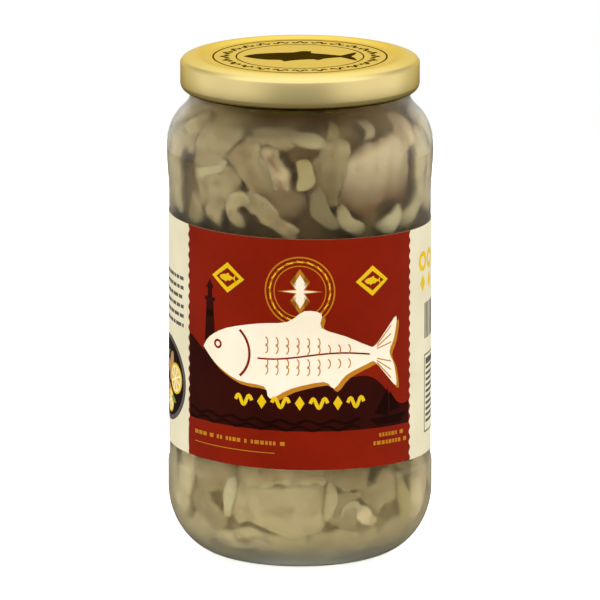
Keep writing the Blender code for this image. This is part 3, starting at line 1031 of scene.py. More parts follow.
class Sheet:
    """Flat figures that are gathered and then given a thickness."""

    def __init__(self, *figures: Figure) -> None:
        """Start with some figures, or with nothing drawn."""
        self.bm = bmesh.new()
        for figure in figures:
            self.add(figure)

    def add(self, figure: Figure) -> None:
        """Draw one figure."""
        verts = [self.bm.verts.new((x, y, 0.0)) for x, y in figure.points]
        for face in figure.faces:
            self.bm.faces.new([verts[i] for i in face])

    def solid(self, thickness: float, column: float = 0.0) -> BMesh:
        """Give the figures a thickness upwards.

        Args:
            thickness: how thick.
            column: if not zero, the spacing of upright cuts that let the sheet bend.

        Returns:
            The closed shapes; the sheet is used up.
        """
        bm = self.bm
        bmesh.ops.triangulate(bm, faces=bm.faces)
        if column:
            xs = [vert.co.x for vert in bm.verts]
            for k in range(math.ceil(min(xs) / column), math.floor(max(xs) / column) + 1):
                bmesh.ops.bisect_plane(bm, geom=bm.verts[:] + bm.edges[:] + bm.faces[:],
                                       dist=1e-5, plane_co=(k * column, 0, 0),
                                       plane_no=(1, 0, 0))
        bmesh.ops.recalc_face_normals(bm, faces=bm.faces)
        flat = bm.faces[:]
        rims = [edge for edge in bm.edges if edge.is_boundary]
        raised = {vert: bm.verts.new((*vert.co.xy, thickness)) for vert in bm.verts[:]}
        for face in flat:
            bm.faces.new([raised[vert] for vert in reversed(face.verts)])
        for edge in rims:
            a, b = edge.verts
            bm.faces.new((a, b, raised[b], raised[a]))
        return bm


@dataclass
class TwistCap:
    """The gold cap: sunken top panel, rolled crest, skirt and curled hem, and its print."""
    sides: int = 192
    radius: float = 42.6
    top: float = 180.2
    panel_radius: float = 33.4
    panel_drop: float = 0.85
    crest_radius: float = 36.6
    underside: float = 178.6
    sheet: float = 0.8
    curl_start: float = 170.5
    curl_round: float = 3.0
    curl_sweep: float = 75.0
    ink_height: float = 0.04
    ink_root: float = 0.05
    ring_lines: tuple[Point, ...] = ((30.6, 31.2), (22.4, 22.9))
    fish_size: Point = (40.0, 15.0)
    mark_radius: float = 26.8
    mark_count: int = 24
    mark_size: tuple[float, float, float] = (5.2, 2.6, 0.9)

    def outline(self) -> list[Point]:
        """The sheet's outline: over the top, round the hem and back inside.

        Returns:
            Points of radius and height.
        """
        panel = self.top - self.panel_drop
        curl = (self.radius - self.curl_round, self.curl_start)
        inner_curl = self.curl_round - self.sheet
        outer = [(0.0, panel), (self.panel_radius * 0.5, panel), (self.panel_radius - 0.5, panel)]
        outer += through([(self.panel_radius, panel), (self.panel_radius + 1.2, self.top - 0.5),
                          (self.crest_radius, self.top), (self.radius - 2.8, self.top - 0.55),
                          (self.radius - 0.9, self.top - 1.3), (self.radius, self.top - 2.5)], 6)
        outer += arc(curl, (self.curl_round, self.curl_round), 0, -self.curl_sweep, 14)
        inner = arc(curl, (inner_curl, inner_curl), -self.curl_sweep, 0, 10)
        inner += [(self.radius - self.sheet, self.top - 3.2),
                  (self.radius - 1.7, self.underside - 0.7),
                  (self.radius - 3.2, self.underside), (0.0, self.underside)]
        return outer + inner

    def build(self) -> None:
        """Make the cap, and the rings, waves and fish printed on its panel."""
        new_piece("twist_cap", turned("twist_cap", self.outline(), self.sides), GoldLacquer(),
                  "gold_lacquer", "lid")
        ink = Ink.UMBER.value
        thick = self.ink_height + self.ink_root
        foot = self.top - self.panel_drop - self.ink_root
        part = Sheet(wave_figure(*self.mark_size)).solid(thick)
        part.transform(Matrix.Rotation(math.pi / 2, 4, "Z"))
        waves = row_round("cap_waves", part, ink, self.mark_count, self.mark_radius, foot, 0.0,
                          360.0 / self.mark_count)
        rings = [ring_figure((0.0, 0.0), near, far, 96) for near, far in self.ring_lines]
        middle = Sheet(fish_figure(*self.fish_size), *rings).solid(thick)
        middle.transform(Matrix.Scale(MM, 4) @ Matrix.Translation((0.0, 0.0, foot)))
        new_piece("cap_print", joined([waves, mesh_from("cap_fish", middle)]), ink,
                  "gold_lacquer")


@dataclass
class PaperLabel:
    """The paper band round the jar, put on a little askew, with its lap at the back."""
    sides: int = 192
    inner: float = 46.7
    thickness: float = 0.18
    bottom: float = 39.4
    top: float = 122.7
    rise: float = 1.325
    ripple: float = 0.137
    lap: Point = (141.0, 147.0)
    layer: float = 0.035
    root: float = 0.02
    column: float = 1.5
    sheets: dict = field(default_factory=dict)
    rows: list = field(default_factory=list)

    @property
    def outer(self) -> float:
        """The radius of the paper's outer face."""
        return self.inner + self.thickness

    @property
    def height(self) -> float:
        """How tall the paper is."""
        return self.top - self.bottom

    def climb(self, azimuth: float) -> float:
        """How far the edges lie above their mean height at an azimuth in radians."""
        return self.ripple * math.sin(3 * azimuth) - self.rise * math.sin(azimuth)

    def draw(self, ink: Ink, level: int, *figures: Figure) -> None:
        """Print figures in one ink, over those of a lower level.

        Args:
            ink: the ink.
            level: how many layers of print thick they are.
            figures: the shapes, in millimetres round the jar and up the label.
        """
        sheet = self.sheets.setdefault((ink, level), Sheet())
        for figure in figures:
            sheet.add(figure)

    def bent(self, sheet: Sheet, level: int, bottom: float = 0.0) -> BMesh:
        """Thicken a printed sheet and bend it round the jar, in millimetres.

        Args:
            sheet: the sheet; it is used up.
            level: how many layers of print thick.
            bottom: the height of its lower edge.

        Returns:
            The bent shapes.
        """
        bm = sheet.solid(level * self.layer + self.root, self.column)
        for vert in bm.verts:
            azimuth = vert.co.x / self.outer
            radius = self.outer - self.root + vert.co.z
            vert.co = (radius * math.sin(azimuth), -radius * math.cos(azimuth),
                       bottom + vert.co.y)
        return bm

    def row(self, ink: Ink, level: int, figure: Figure, count: int, height: float,
            start: float, step: float) -> None:
        """Print a row of one small figure round the jar.

        Args:
            ink: the ink.
            level: how many layers of print thick it is.
            figure: the figure about its own middle.
            count: how many.
            height: the row's height above the label's lower edge.
            start: the first one's place round the jar in millimetres.
            step: the distance between two.
        """
        part = self.bent(Sheet(figure), level)
        part.transform(Matrix.Rotation(math.pi / 2, 4, "Z"))
        part.transform(Matrix.Translation((-self.outer, 0.0, 0.0)))
        self.rows.append((ink, row_round("label_row", part, ink.value, count, self.outer,
                                         self.bottom + height,
                                         math.degrees(start / self.outer),
                                         math.degrees(step / self.outer), climb=True)))

    def wrapped(self, sheet: Sheet, level: int) -> Mesh:
        """Bend a printed sheet round the jar, along the label's climb.

        Args:
            sheet: the sheet; it is used up.
            level: how many layers of print thick.

        Returns:
            The print's mesh.
        """
        bm = self.bent(sheet, level, self.bottom)
        for vert in bm.verts:
            vert.co.z += self.climb(math.atan2(vert.co.x, -vert.co.y))
            vert.co *= MM
        return mesh_from("print", bm)

    def build(self) -> None:
        """Make the band, its lap and all of its print."""
        band = turned("paper_label", [(self.inner, self.bottom), (self.outer, self.bottom),
                                      (self.outer, self.top), (self.inner, self.top),
                                      (self.inner, self.bottom)], self.sides)
        for vert in band.vertices:
            vert.co.z += self.climb(math.atan2(vert.co.x, -vert.co.y)) * MM
        new_piece("paper_label", band, Ink.CREAM.value, "label_paper", "label")
        FrontArtwork(self).draw()
        SideArtwork(self).draw()
        for ink in Ink:
            meshes = [self.wrapped(sheet, level)
                      for (colour, level), sheet in self.sheets.items() if colour is ink]
            meshes += [row for colour, row in self.rows if colour is ink]
            if meshes:
                name = "label_lap" if ink is Ink.CREAM else ink.value.name.replace("ink", "print")
                new_piece(name, joined(meshes), ink.value, "label_paper", sharp=30.0)


@dataclass
class FrontArtwork:
    """The red front: a compass rosette, a fish over a dark shore, and rows of small marks."""
    label: PaperLabel
    left: float = -46.7
    right: float = 45.8
    margin: float = 4.0
    ripple: float = 0.42
    ripple_pitch: float = 3.75
    rosette: Point = (0.0, 64.5)
    rosette_size: float = 12.6
    fish: tuple[float, float, float, float] = (0.0, 41.0, 76.0, 25.0)
    shadow: Point = (1.3, -1.3)
    seed: int = 5

    def panel(self) -> Figure:
        """The red field with its rippled sides.

        Returns:
            The field.
        """
        steps = np.linspace(0.0, self.label.height, 155)
        waves = [self.ripple * math.sin(math.tau * h / self.ripple_pitch) for h in steps]
        right = [(self.right + w, h) for w, h in zip(waves, steps)]
        left = [(self.left - w, h) for w, h in zip(waves, steps)][::-1]
        return plain_figure(right + left)

    def coast(self) -> None:
        """The dark shore: hills, a lighthouse, a boat under sail and rows of waves."""
        draw = self.label.draw
        first, last = self.left + 0.6, self.right - 0.6
        tops = [(s, 33.0 + 4.5 * math.sin(s / 9.0) + 2.2 * math.sin(s / 4.1 + 1.0) - 0.12 * s)
                for s in np.linspace(first, last, 60)]
        draw(Ink.MAROON, 2, plain_figure([(first, 14.0), *tops, (last, 14.0)][::-1]))
        tower = [(-38.2, 30.0), (-31.8, 30.0), (-33.4, 58.0), (-36.6, 58.0)]
        roof = [(-36.8, 62.6), (-33.2, 62.6), (-35.0, 65.8)]
        draw(Ink.MAROON, 3, plain_figure(tower), bar_figure(-37.4, 58.0, -32.6, 59.3),
             bar_figure(-36.0, 59.3, -34.0, 62.6), plain_figure(roof))
        hull = [(26.0, 17.4), (29.0, 15.0), (40.0, 15.0), (43.4, 18.2)]
        draw(Ink.DEEP, 4, bar_figure(-36.4, 52.4, -33.6, 54.6), plain_figure(hull))
        for sail in ([(34.0, 18.0), (34.0, 28.0), (28.0, 19.4)],
                     [(34.8, 19.4), (40.2, 20.2), (34.8, 26.8)]):
            draw(Ink.DEEP, 3, plain_figure(sail))
        for row, height in enumerate((17.2, 15.0)):
            line = [(s, height + 0.7 * math.sin(s / 1.5 + 1.7 * row))
                    for s in np.linspace(first + 0.4, 22.0, 120)]
            draw(Ink.DEEP, 4, stroke_figure(line, 0.9))

    def emblem(self) -> None:
        """The gold rosette: rings, a rope of short strands and a compass star."""
        draw = self.label.draw
        x, y = self.rosette
        size = self.rosette_size
        draw(Ink.GOLD, 2, ring_figure((x, y), size - 0.55, size),
             ring_figure((x, y), size - 3.6, size - 3.2))
        strand = stroke_figure([(-0.9, -0.75), (-0.2, -0.25), (0.2, 0.25), (0.9, 0.75)], 0.5)
        for i in range(36):
            ink = Ink.YELLOW if i % 2 else Ink.GOLD
            draw(ink, 2, moved(moved(strand, size - 1.9, 0.0, 40.0), x, y, 10.0 * i))
        for ink, level, star in ((Ink.GOLD, 3, (8.2, 5.0, 2.0)), (Ink.IVORY, 4, (6.2, 3.3, 1.3))):
            draw(ink, level, moved(star_figure(*star), x, y, 90.0))
        for side in (-1, 1):
            for ink, level, figure in ((Ink.YELLOW, 4, lozenge_figure(13.5, 11.0)),
                                       (Ink.RED, 5, lozenge_figure(9.5, 7.0)),
                                       (Ink.YELLOW, 6, fish_figure(6.6, 2.5))):
                draw(ink, level, moved(figure, x + side * 27.0, y + 3.0))

    def big_fish(self) -> None:
        """The cream fish with its gold shadow, and the lines drawn on it."""
        draw = self.label.draw
        x, y, length, height = self.fish
        outline = moved(fish_figure(length, height), x, y)
        draw(Ink.GOLD, 5, moved(outline, *self.shadow))
        draw(Ink.IVORY, 6, outline)
        gill = arc((x - 0.37 * length, y), (0.13 * length, 0.42 * height), -52, 52, 16)
        flank = [(x + length * t, y + 0.05 * height * math.sin(9 * t))
                 for t in np.linspace(-0.2, 0.34, 30)]
        eye = ring_figure((x - 0.41 * length, y + 0.08 * height), 0.9, 1.7, 28)
        draw(Ink.RED, 7, stroke_figure(gill, 0.9), eye, stroke_figure(flank, 0.6))
        scale = stroke_figure(arc((0.0, 0.0), (1.5, 1.9), -62, 62, 8), 0.4)
        for row, columns in ((-2, 6), (-1, 9), (1, 9), (2, 6)):
            for column in range(columns):
                draw(Ink.GOLD, 7, moved(scale, x - 0.17 * length + 3.7 * column, y + 2.55 * row))
        for side in (-1, 1):
            for k in range(3):
                fan = [(x + 0.38 * length, y + side * (0.07 + 0.03 * k) * height),
                       (x + 0.465 * length, y + side * (0.14 + 0.12 * k) * height)]
                draw(Ink.GOLD, 7, stroke_figure(fan, 0.4))

    def small_marks(self) -> None:
        """A row of yellow waves and lozenges, and fine rows like lines of small print."""
        for figure, count, start in ((wave_figure(6.2, 3.4, 1.25), 4, -20.5),
                                     (lozenge_figure(3.4, 5.2), 3, -13.7)):
            self.label.row(Ink.YELLOW, 8, figure, count, 24.2, start, 13.6)
        left = self.left + self.margin
        draw = random.Random(self.seed)
        for height, s, last in ((8.6, left, -7.0), (10.6, 30.0, 41.0), (7.8, 27.5, 42.5)):
            while s < last:
                wide = draw.choice((0.9, 1.3, 1.7))
                self.label.draw(Ink.GOLD, 6, bar_figure(s, height, s + wide, height + 1.4))
                s += wide + draw.choice((0.5, 0.5, 1.6))
        self.label.draw(Ink.GOLD, 6, bar_figure(left, 5.6, -9.0, 5.9))

    def draw(self) -> None:
        """Print the whole front."""
        self.label.draw(Ink.RED, 1, self.panel())
        self.coast()
        self.emblem()
        self.big_fish()
        self.small_marks()


@dataclass
class SideArtwork:
    """The cream sides and back: rows like small print, a plate with lemon, and a ruled table."""
    label: PaperLabel
    seed: int = 8
    plate_spot: Point = (-66.0, 24.0)
    frame: tuple[float, float, float, float] = (58.0, 88.0, 8.0, 36.0)

    def rows(self, draw: random.Random, left: float, right: float, heights: Iterable[float],
             size: float) -> None:
        """Rows of short bars that stand for lines of small print.

        Args:
            draw: the random source for their lengths.
            left: where the rows begin.
            right: where they end.
            heights: each row's height.
            size: how tall the bars are.
        """
        for height in heights:
            s = left
            stop = right - draw.uniform(0.0, 0.25) * (right - left)
            while s < stop:
                wide = draw.uniform(1.2, 3.8) * size
                bar = bar_figure(s, height, min(s + wide, right), height + size)
                self.label.draw(Ink.GREY, 1, bar)
                s += wide + 0.55 * size

    def plate(self) -> None:
        """A dark plate with slices of fish, lemon and onion."""
        draw = self.label.draw
        x, y = self.plate_spot
        for ink, level, radii in ((Ink.GREY, 1, (17.0, 15.5)), (Ink.DEEP, 2, (15.2, 13.8))):
            draw(ink, level, round_figure((x, y), radii, 56))
        fillet = round_figure((0, 0), (6.0, 2.6), 24)
        for level, dx, dy, turn in ((3, -5.0, 3.0, 20.0), (4, -1.5, -4.5, -15.0),
                                    (3, 3.0, 4.5, 70.0)):
            draw(Ink.TAN, level, moved(fillet, x + dx, y + dy, turn))
        for dx, dy, size in ((8.6, 1.0, 5.6), (2.0, -8.2, 4.2)):
            draw(Ink.YELLOW, 5, round_figure((x + dx, y + dy), (size, size), 36))
            draw(Ink.IVORY, 6, round_figure((x + dx, y + dy), (size * 0.84,) * 2, 36))
            wedge = plain_figure([(0.7, 0.0), (size * 0.72, -size * 0.22),
                                  (size * 0.76, size * 0.2)])
            for k in range(8):
                draw(Ink.YELLOW, 7, moved(wedge, x + dx, y + dy, 45.0 * k))
        for dx, dy, size in ((-9.0, -3.0, 2.6), (-7.0, -6.5, 1.9)):
            draw(Ink.IVORY, 5, ring_figure((x + dx, y + dy), size - 0.6, size, 32))
        leaf = plain_figure([(-2.4, 0.0), (-0.8, 0.9), (1.2, 0.8), (2.6, 0.0), (1.2, -0.8),
                             (-0.8, -0.9)])
        for dx, dy, turn in ((-1.0, 8.6, 30.0), (-10.6, 2.6, 110.0), (6.5, -7.0, -20.0)):
            draw(Ink.LEAF, 8, moved(leaf, x + dx, y + dy, turn))

    def table(self) -> None:
        """A ruled frame with rows in two columns, and a block of upright stripes over it."""
        x0, x1, y0, y1 = self.frame
        for a, b, c, d in ((x0, y0, x1, y0), (x0, y1, x1, y1), (x0, y0, x0, y1),
                           (x1, y0, x1, y1)):
            self.label.draw(Ink.GREY, 1, bar_figure(a - 0.25, b - 0.25, c + 0.25, d + 0.25))
        bars = [bar_figure(x0 + 1.4, y1 - 3.6, x0 + 20.0, y1 - 1.4),
                bar_figure(x0 + 1.4, y1 - 5.4, x1 - 1.4, y1 - 4.5)]
        draw = random.Random(self.seed)
        for k in range(9):
            foot = y1 - 7.6 - 2.15 * k
            bars += [bar_figure(x0 + 1.4, foot, x0 + draw.uniform(10.0, 18.0), foot + 1.0),
                     bar_figure(x1 - 4.6, foot, x1 - 1.6, foot + 1.0)]
        self.label.draw(Ink.GREY, 2, *bars)
        s = x0
        while s < x0 + 26.0:
            wide = draw.choice((0.35, 0.35, 0.7, 1.0))
            self.label.draw(Ink.GREY, 1, bar_figure(s, 42.0, s + wide, 55.0))
            s += wide + draw.choice((0.4, 0.7, 0.9))

    def draw(self) -> None:
        """Print both sides and the back."""
        draw = random.Random(self.seed)
        self.rows(draw, -72.0, -50.5, (62.0, 58.6, 55.2, 51.8, 48.4, 45.0), 1.3)
        self.plate()
        for s in (56.0, 64.0):
            self.label.draw(Ink.YELLOW, 1, ring_figure((s, 70.5), 1.9, 3.6, 32),
                            moved(lozenge_figure(4.6, 6.4), s, 62.6))
        self.table()
        for left, right, foot, count, red in ((92.0, 138.0, 12.0, 16, 66.0),
                                              (-136.0, -90.0, 10.0, 12, 52.0)):
            self.rows(draw, left, right, [foot + 3.1 * k for k in range(count)], 1.2)
            self.label.draw(Ink.RED, 1, bar_figure(left, red, right, red + 3.0))
        self.label.draw(Ink.GOLD, 1, moved(fish_figure(40.0, 14.0), -113.0, 67.0))
        self.label.draw(Ink.IVORY, 2, ring_figure((-129.0, 68.2), 0.6, 1.3, 24))
        low, high = self.label.lap
        self.label.draw(Ink.CREAM, 3, bar_figure(low, 0.0, high, self.label.height))


class Kind(Enum):
    """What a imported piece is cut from."""
    FLESH = "herring_slices"
    SKIN = "herring_skin_slices"
    ONION = "onion_strips"
    BEHIND = "herring_behind"


class Cut(NamedTuple):
    """One piece of fish or onion: where it lies against the glass, its size and its tone."""
    kind: Kind
    azimuth: float
    height: float
    turn: float
    length: float
    width: float
    thickness: float
    depth: float
    lean: float
    tone: float = 0.5
    streak: float = 0.0
    bend: float = 0.0
    fade: float = 0.0


FLESH, SKIN, ONION = Kind.FLESH, Kind.SKIN, Kind.ONION
# The pieces that show at the front, from the left edge to the right one
FRONT_UPPER = (
    Cut(FLESH, -76, 143, 84, 32, 14, 7, 0.6, 6, 0.5),
    Cut(FLESH, -63, 156.5, 56, 17, 12, 6, 1, -8, 0.35),
    Cut(FLESH, -87, 156, 76, 20, 13, 6, 0.7, 0, 0.6),
    Cut(FLESH, -45, 153, 78, 25, 19, 8, 0.5, 3, 0.25, 0.1, fade=0.05),
    Cut(ONION, -45, 145, 22, 17, 4.5, 3.5, 0.5, 0, 0.35),
    Cut(FLESH, -42, 139, 8, 22, 15, 7, 1.5, -3, 0.35),
    Cut(FLESH, -43, 130.5, 60, 12, 8, 5, 0.9, 0, 0.4),
    Cut(FLESH, -58, 129, 72, 15, 9, 6, 2.2, 5, 0.3),
    Cut(FLESH, -23, 147, -64, 24, 14, 9, 0.4, -5, 0.2, 0.4, fade=-0.12),
    Cut(FLESH, -12, 147, -70, 21, 9, 7, 1.4, 4, 0.8, 0.8),
    Cut(FLESH, -13, 158.5, 6, 17, 9, 5, 1.8, 0, 0.3, 0.2),
    Cut(FLESH, -32, 134, 45, 21, 5.4, 5, 0.5, 0, 0.35, bend=290),
    Cut(FLESH, -14, 130, -38, 25, 7, 5, 0.6, 3, 0.26, 0.3, fade=0.1),
    Cut(SKIN, -7, 137, -58, 19, 14, 6, 2.6, 6, 0.9),
    Cut(ONION, 3, 158, -20, 16, 6, 4, 0.6, 0, 0.25, fade=0.1),
    Cut(FLESH, 14, 147, 80, 29, 14, 7, 1.5, 6, 0.14, 0.1, fade=0.3),
    Cut(ONION, 2, 145, 84, 12, 6.5, 4, 0.5, 0, 0.82, fade=0.1),
    Cut(ONION, 11, 132, -60, 17, 7, 4, 0.8, 0, 0.0),
    Cut(SKIN, 39, 143.5, 4, 34, 26, 9, 0.4, -3, 0.5),
    Cut(ONION, 24, 127.5, -46, 14, 6, 4, 0.6, 0, 0.2),
    Cut(ONION, 48, 126, 24, 14, 7, 4, 0.8, 0, 0.45),
    Cut(FLESH, 59, 157, 66, 17, 12, 6, 0.9, 0, 0.9),
    Cut(ONION, 37, 160, 86, 10, 5, 3.5, 1.6, 0, 0.4),
    Cut(ONION, 17, 160.5, 78, 9, 4, 3.5, 1.4, 0, 0.9),
    Cut(FLESH, 73, 143, 98, 32, 13, 7, 0.7, -6, 0.6),
    Cut(FLESH, 86, 156, 106, 20, 13, 6, 0.7, 0, 0.65),
    Cut(ONION, 64, 128, 40, 18, 7, 4, 1.4, 0, 0.4),
)
FRONT_LOWER = (
    Cut(FLESH, -68, 29, 74, 31, 13, 7, 0.5, 4, 0.6),
    Cut(FLESH, -44, 35, 30, 20, 15, 7, 0.9, -4, 0.2),
    Cut(FLESH, -50, 21, 118, 22, 12, 6, 1.6, 6, 0.15),
    Cut(ONION, -35, 27, 80, 17, 5, 4, 0.5, 0, 0.5),
    Cut(FLESH, -11, 23.5, -2, 40, 20, 9, 0.4, 0, 0.42, 0.2),
    Cut(FLESH, -9, 37.5, 1, 36, 13, 8, 0.7, 0, 0.35, 0.3),
    Cut(FLESH, -32, 11, 8, 24, 9, 6, 0.6, 0, 0.6, 0.6),
    Cut(ONION, 14, 26, 84, 16, 4.5, 4, 0.5, 0, 0.3),
    Cut(FLESH, 23, 36, -12, 19, 11, 6, 1.3, 0, 0.1),
    Cut(ONION, 25, 25.5, 0, 16, 2.6, 3.5, 0.6, 0, 0.25, bend=280),
    Cut(FLESH, 22, 23, 66, 15, 12, 6, 1.8, 5, 0.2),
    Cut(FLESH, 32, 20.5, -44, 15, 5, 4, 0.5, 0, 0.7),
    Cut(FLESH, 42, 28, 24, 19, 13, 7, 1.2, -5, 0.2),
    Cut(ONION, 56, 21, 96, 26, 6, 4, 0.5, 0, 0.95),
    Cut(FLESH, 70, 26, 84, 31, 12, 7, 0.6, 5, 0.85),
    Cut(FLESH, 22, 9, -6, 30, 15, 7, 0.9, 0, 0.25),
    Cut(FLESH, 52, 11, 40, 18, 12, 6, 1, 0, 0.2),
    Cut(FLESH, -8, 9, 6, 28, 13, 6, 1.3, 0, 0.35),
    Cut(FLESH, -58, 12, 40, 20, 12, 6, 1, 0, 0.3),
)


class Wall:
    """The inner face of the glass as a path that can be read at any distance along it."""

    def __init__(self, points: Sequence[Point], flat_reach: float = 32.0) -> None:
        """Measure the path.

        Args:
            points: radius and height, from the middle of the floor up to the neck.
            flat_reach: how far from the middle the floor counts as flat.
        """
        self.points = np.array(points)
        spans = np.linalg.norm(np.diff(self.points, axis=0), axis=1)
        self.marks = np.concatenate([[0.0], np.cumsum(spans)])
        self.flat_reach = flat_reach

    def at(self, along: np.ndarray) -> tuple[np.ndarray, np.ndarray]:
        """Radius and height at distances along the path."""
        return (np.interp(along, self.marks, self.points[:, 0]),
                np.interp(along, self.marks, self.points[:, 1]))

    def inward(self, along: np.ndarray, reach: float = 1.5) -> tuple[np.ndarray, np.ndarray]:
        """Unit normal towards the contents.

        Args:
            along: distances along the path.
            reach: how far off on both sides the slope is read.

        Returns:
            The normal's parts across and up.
        """
        near, far = np.array(self.at(along - reach)), np.array(self.at(along + reach))
        run = far - near
        size = np.maximum(np.hypot(run[0], run[1]), 1e-9)
        return -run[1] / size, run[0] / size

    def along_at(self, height: float, foot: float) -> float:
        """Distance along the wall to a height, beyond the heel's foot."""
        rising = self.points[:, 0] > foot
        return float(np.interp(height, self.points[rising, 1], self.marks[rising]))

    def place(self, azimuth: float, along: float, u: np.ndarray, v: np.ndarray,
              depth: np.ndarray) -> np.ndarray:
        """World points at u across and v up the glass from a spot, at a depth inside it.

        Args:
            azimuth: the spot's azimuth in radians.
            along: the spot's distance along the wall.
            u: distances across.
            v: distances up.
            depth: depths behind the glass.

        Returns:
            Points in metres, one row each.
        """
        if along < self.flat_reach:
            x = along * math.sin(azimuth) + u * math.cos(azimuth) + v * math.sin(azimuth)
            y = along * math.cos(azimuth) - u * math.sin(azimuth) + v * math.cos(azimuth)
            angle, way = np.arctan2(x, y), np.hypot(x, y)
        else:
            angle, way = azimuth + u / self.at(along)[0], along + v
        radius, height = self.at(way)
        toward_axis, up = self.inward(way)
        radius, height = radius + toward_axis * depth, height + up * depth
        return np.stack([radius * np.sin(angle), -radius * np.cos(angle), height], -1) * MM


class Shell(NamedTuple):
    """A closed surface in metres, with what its material reads at each point."""
    points: np.ndarray
    faces: list[tuple[int, ...]]
    marks: dict[str, np.ndarray]


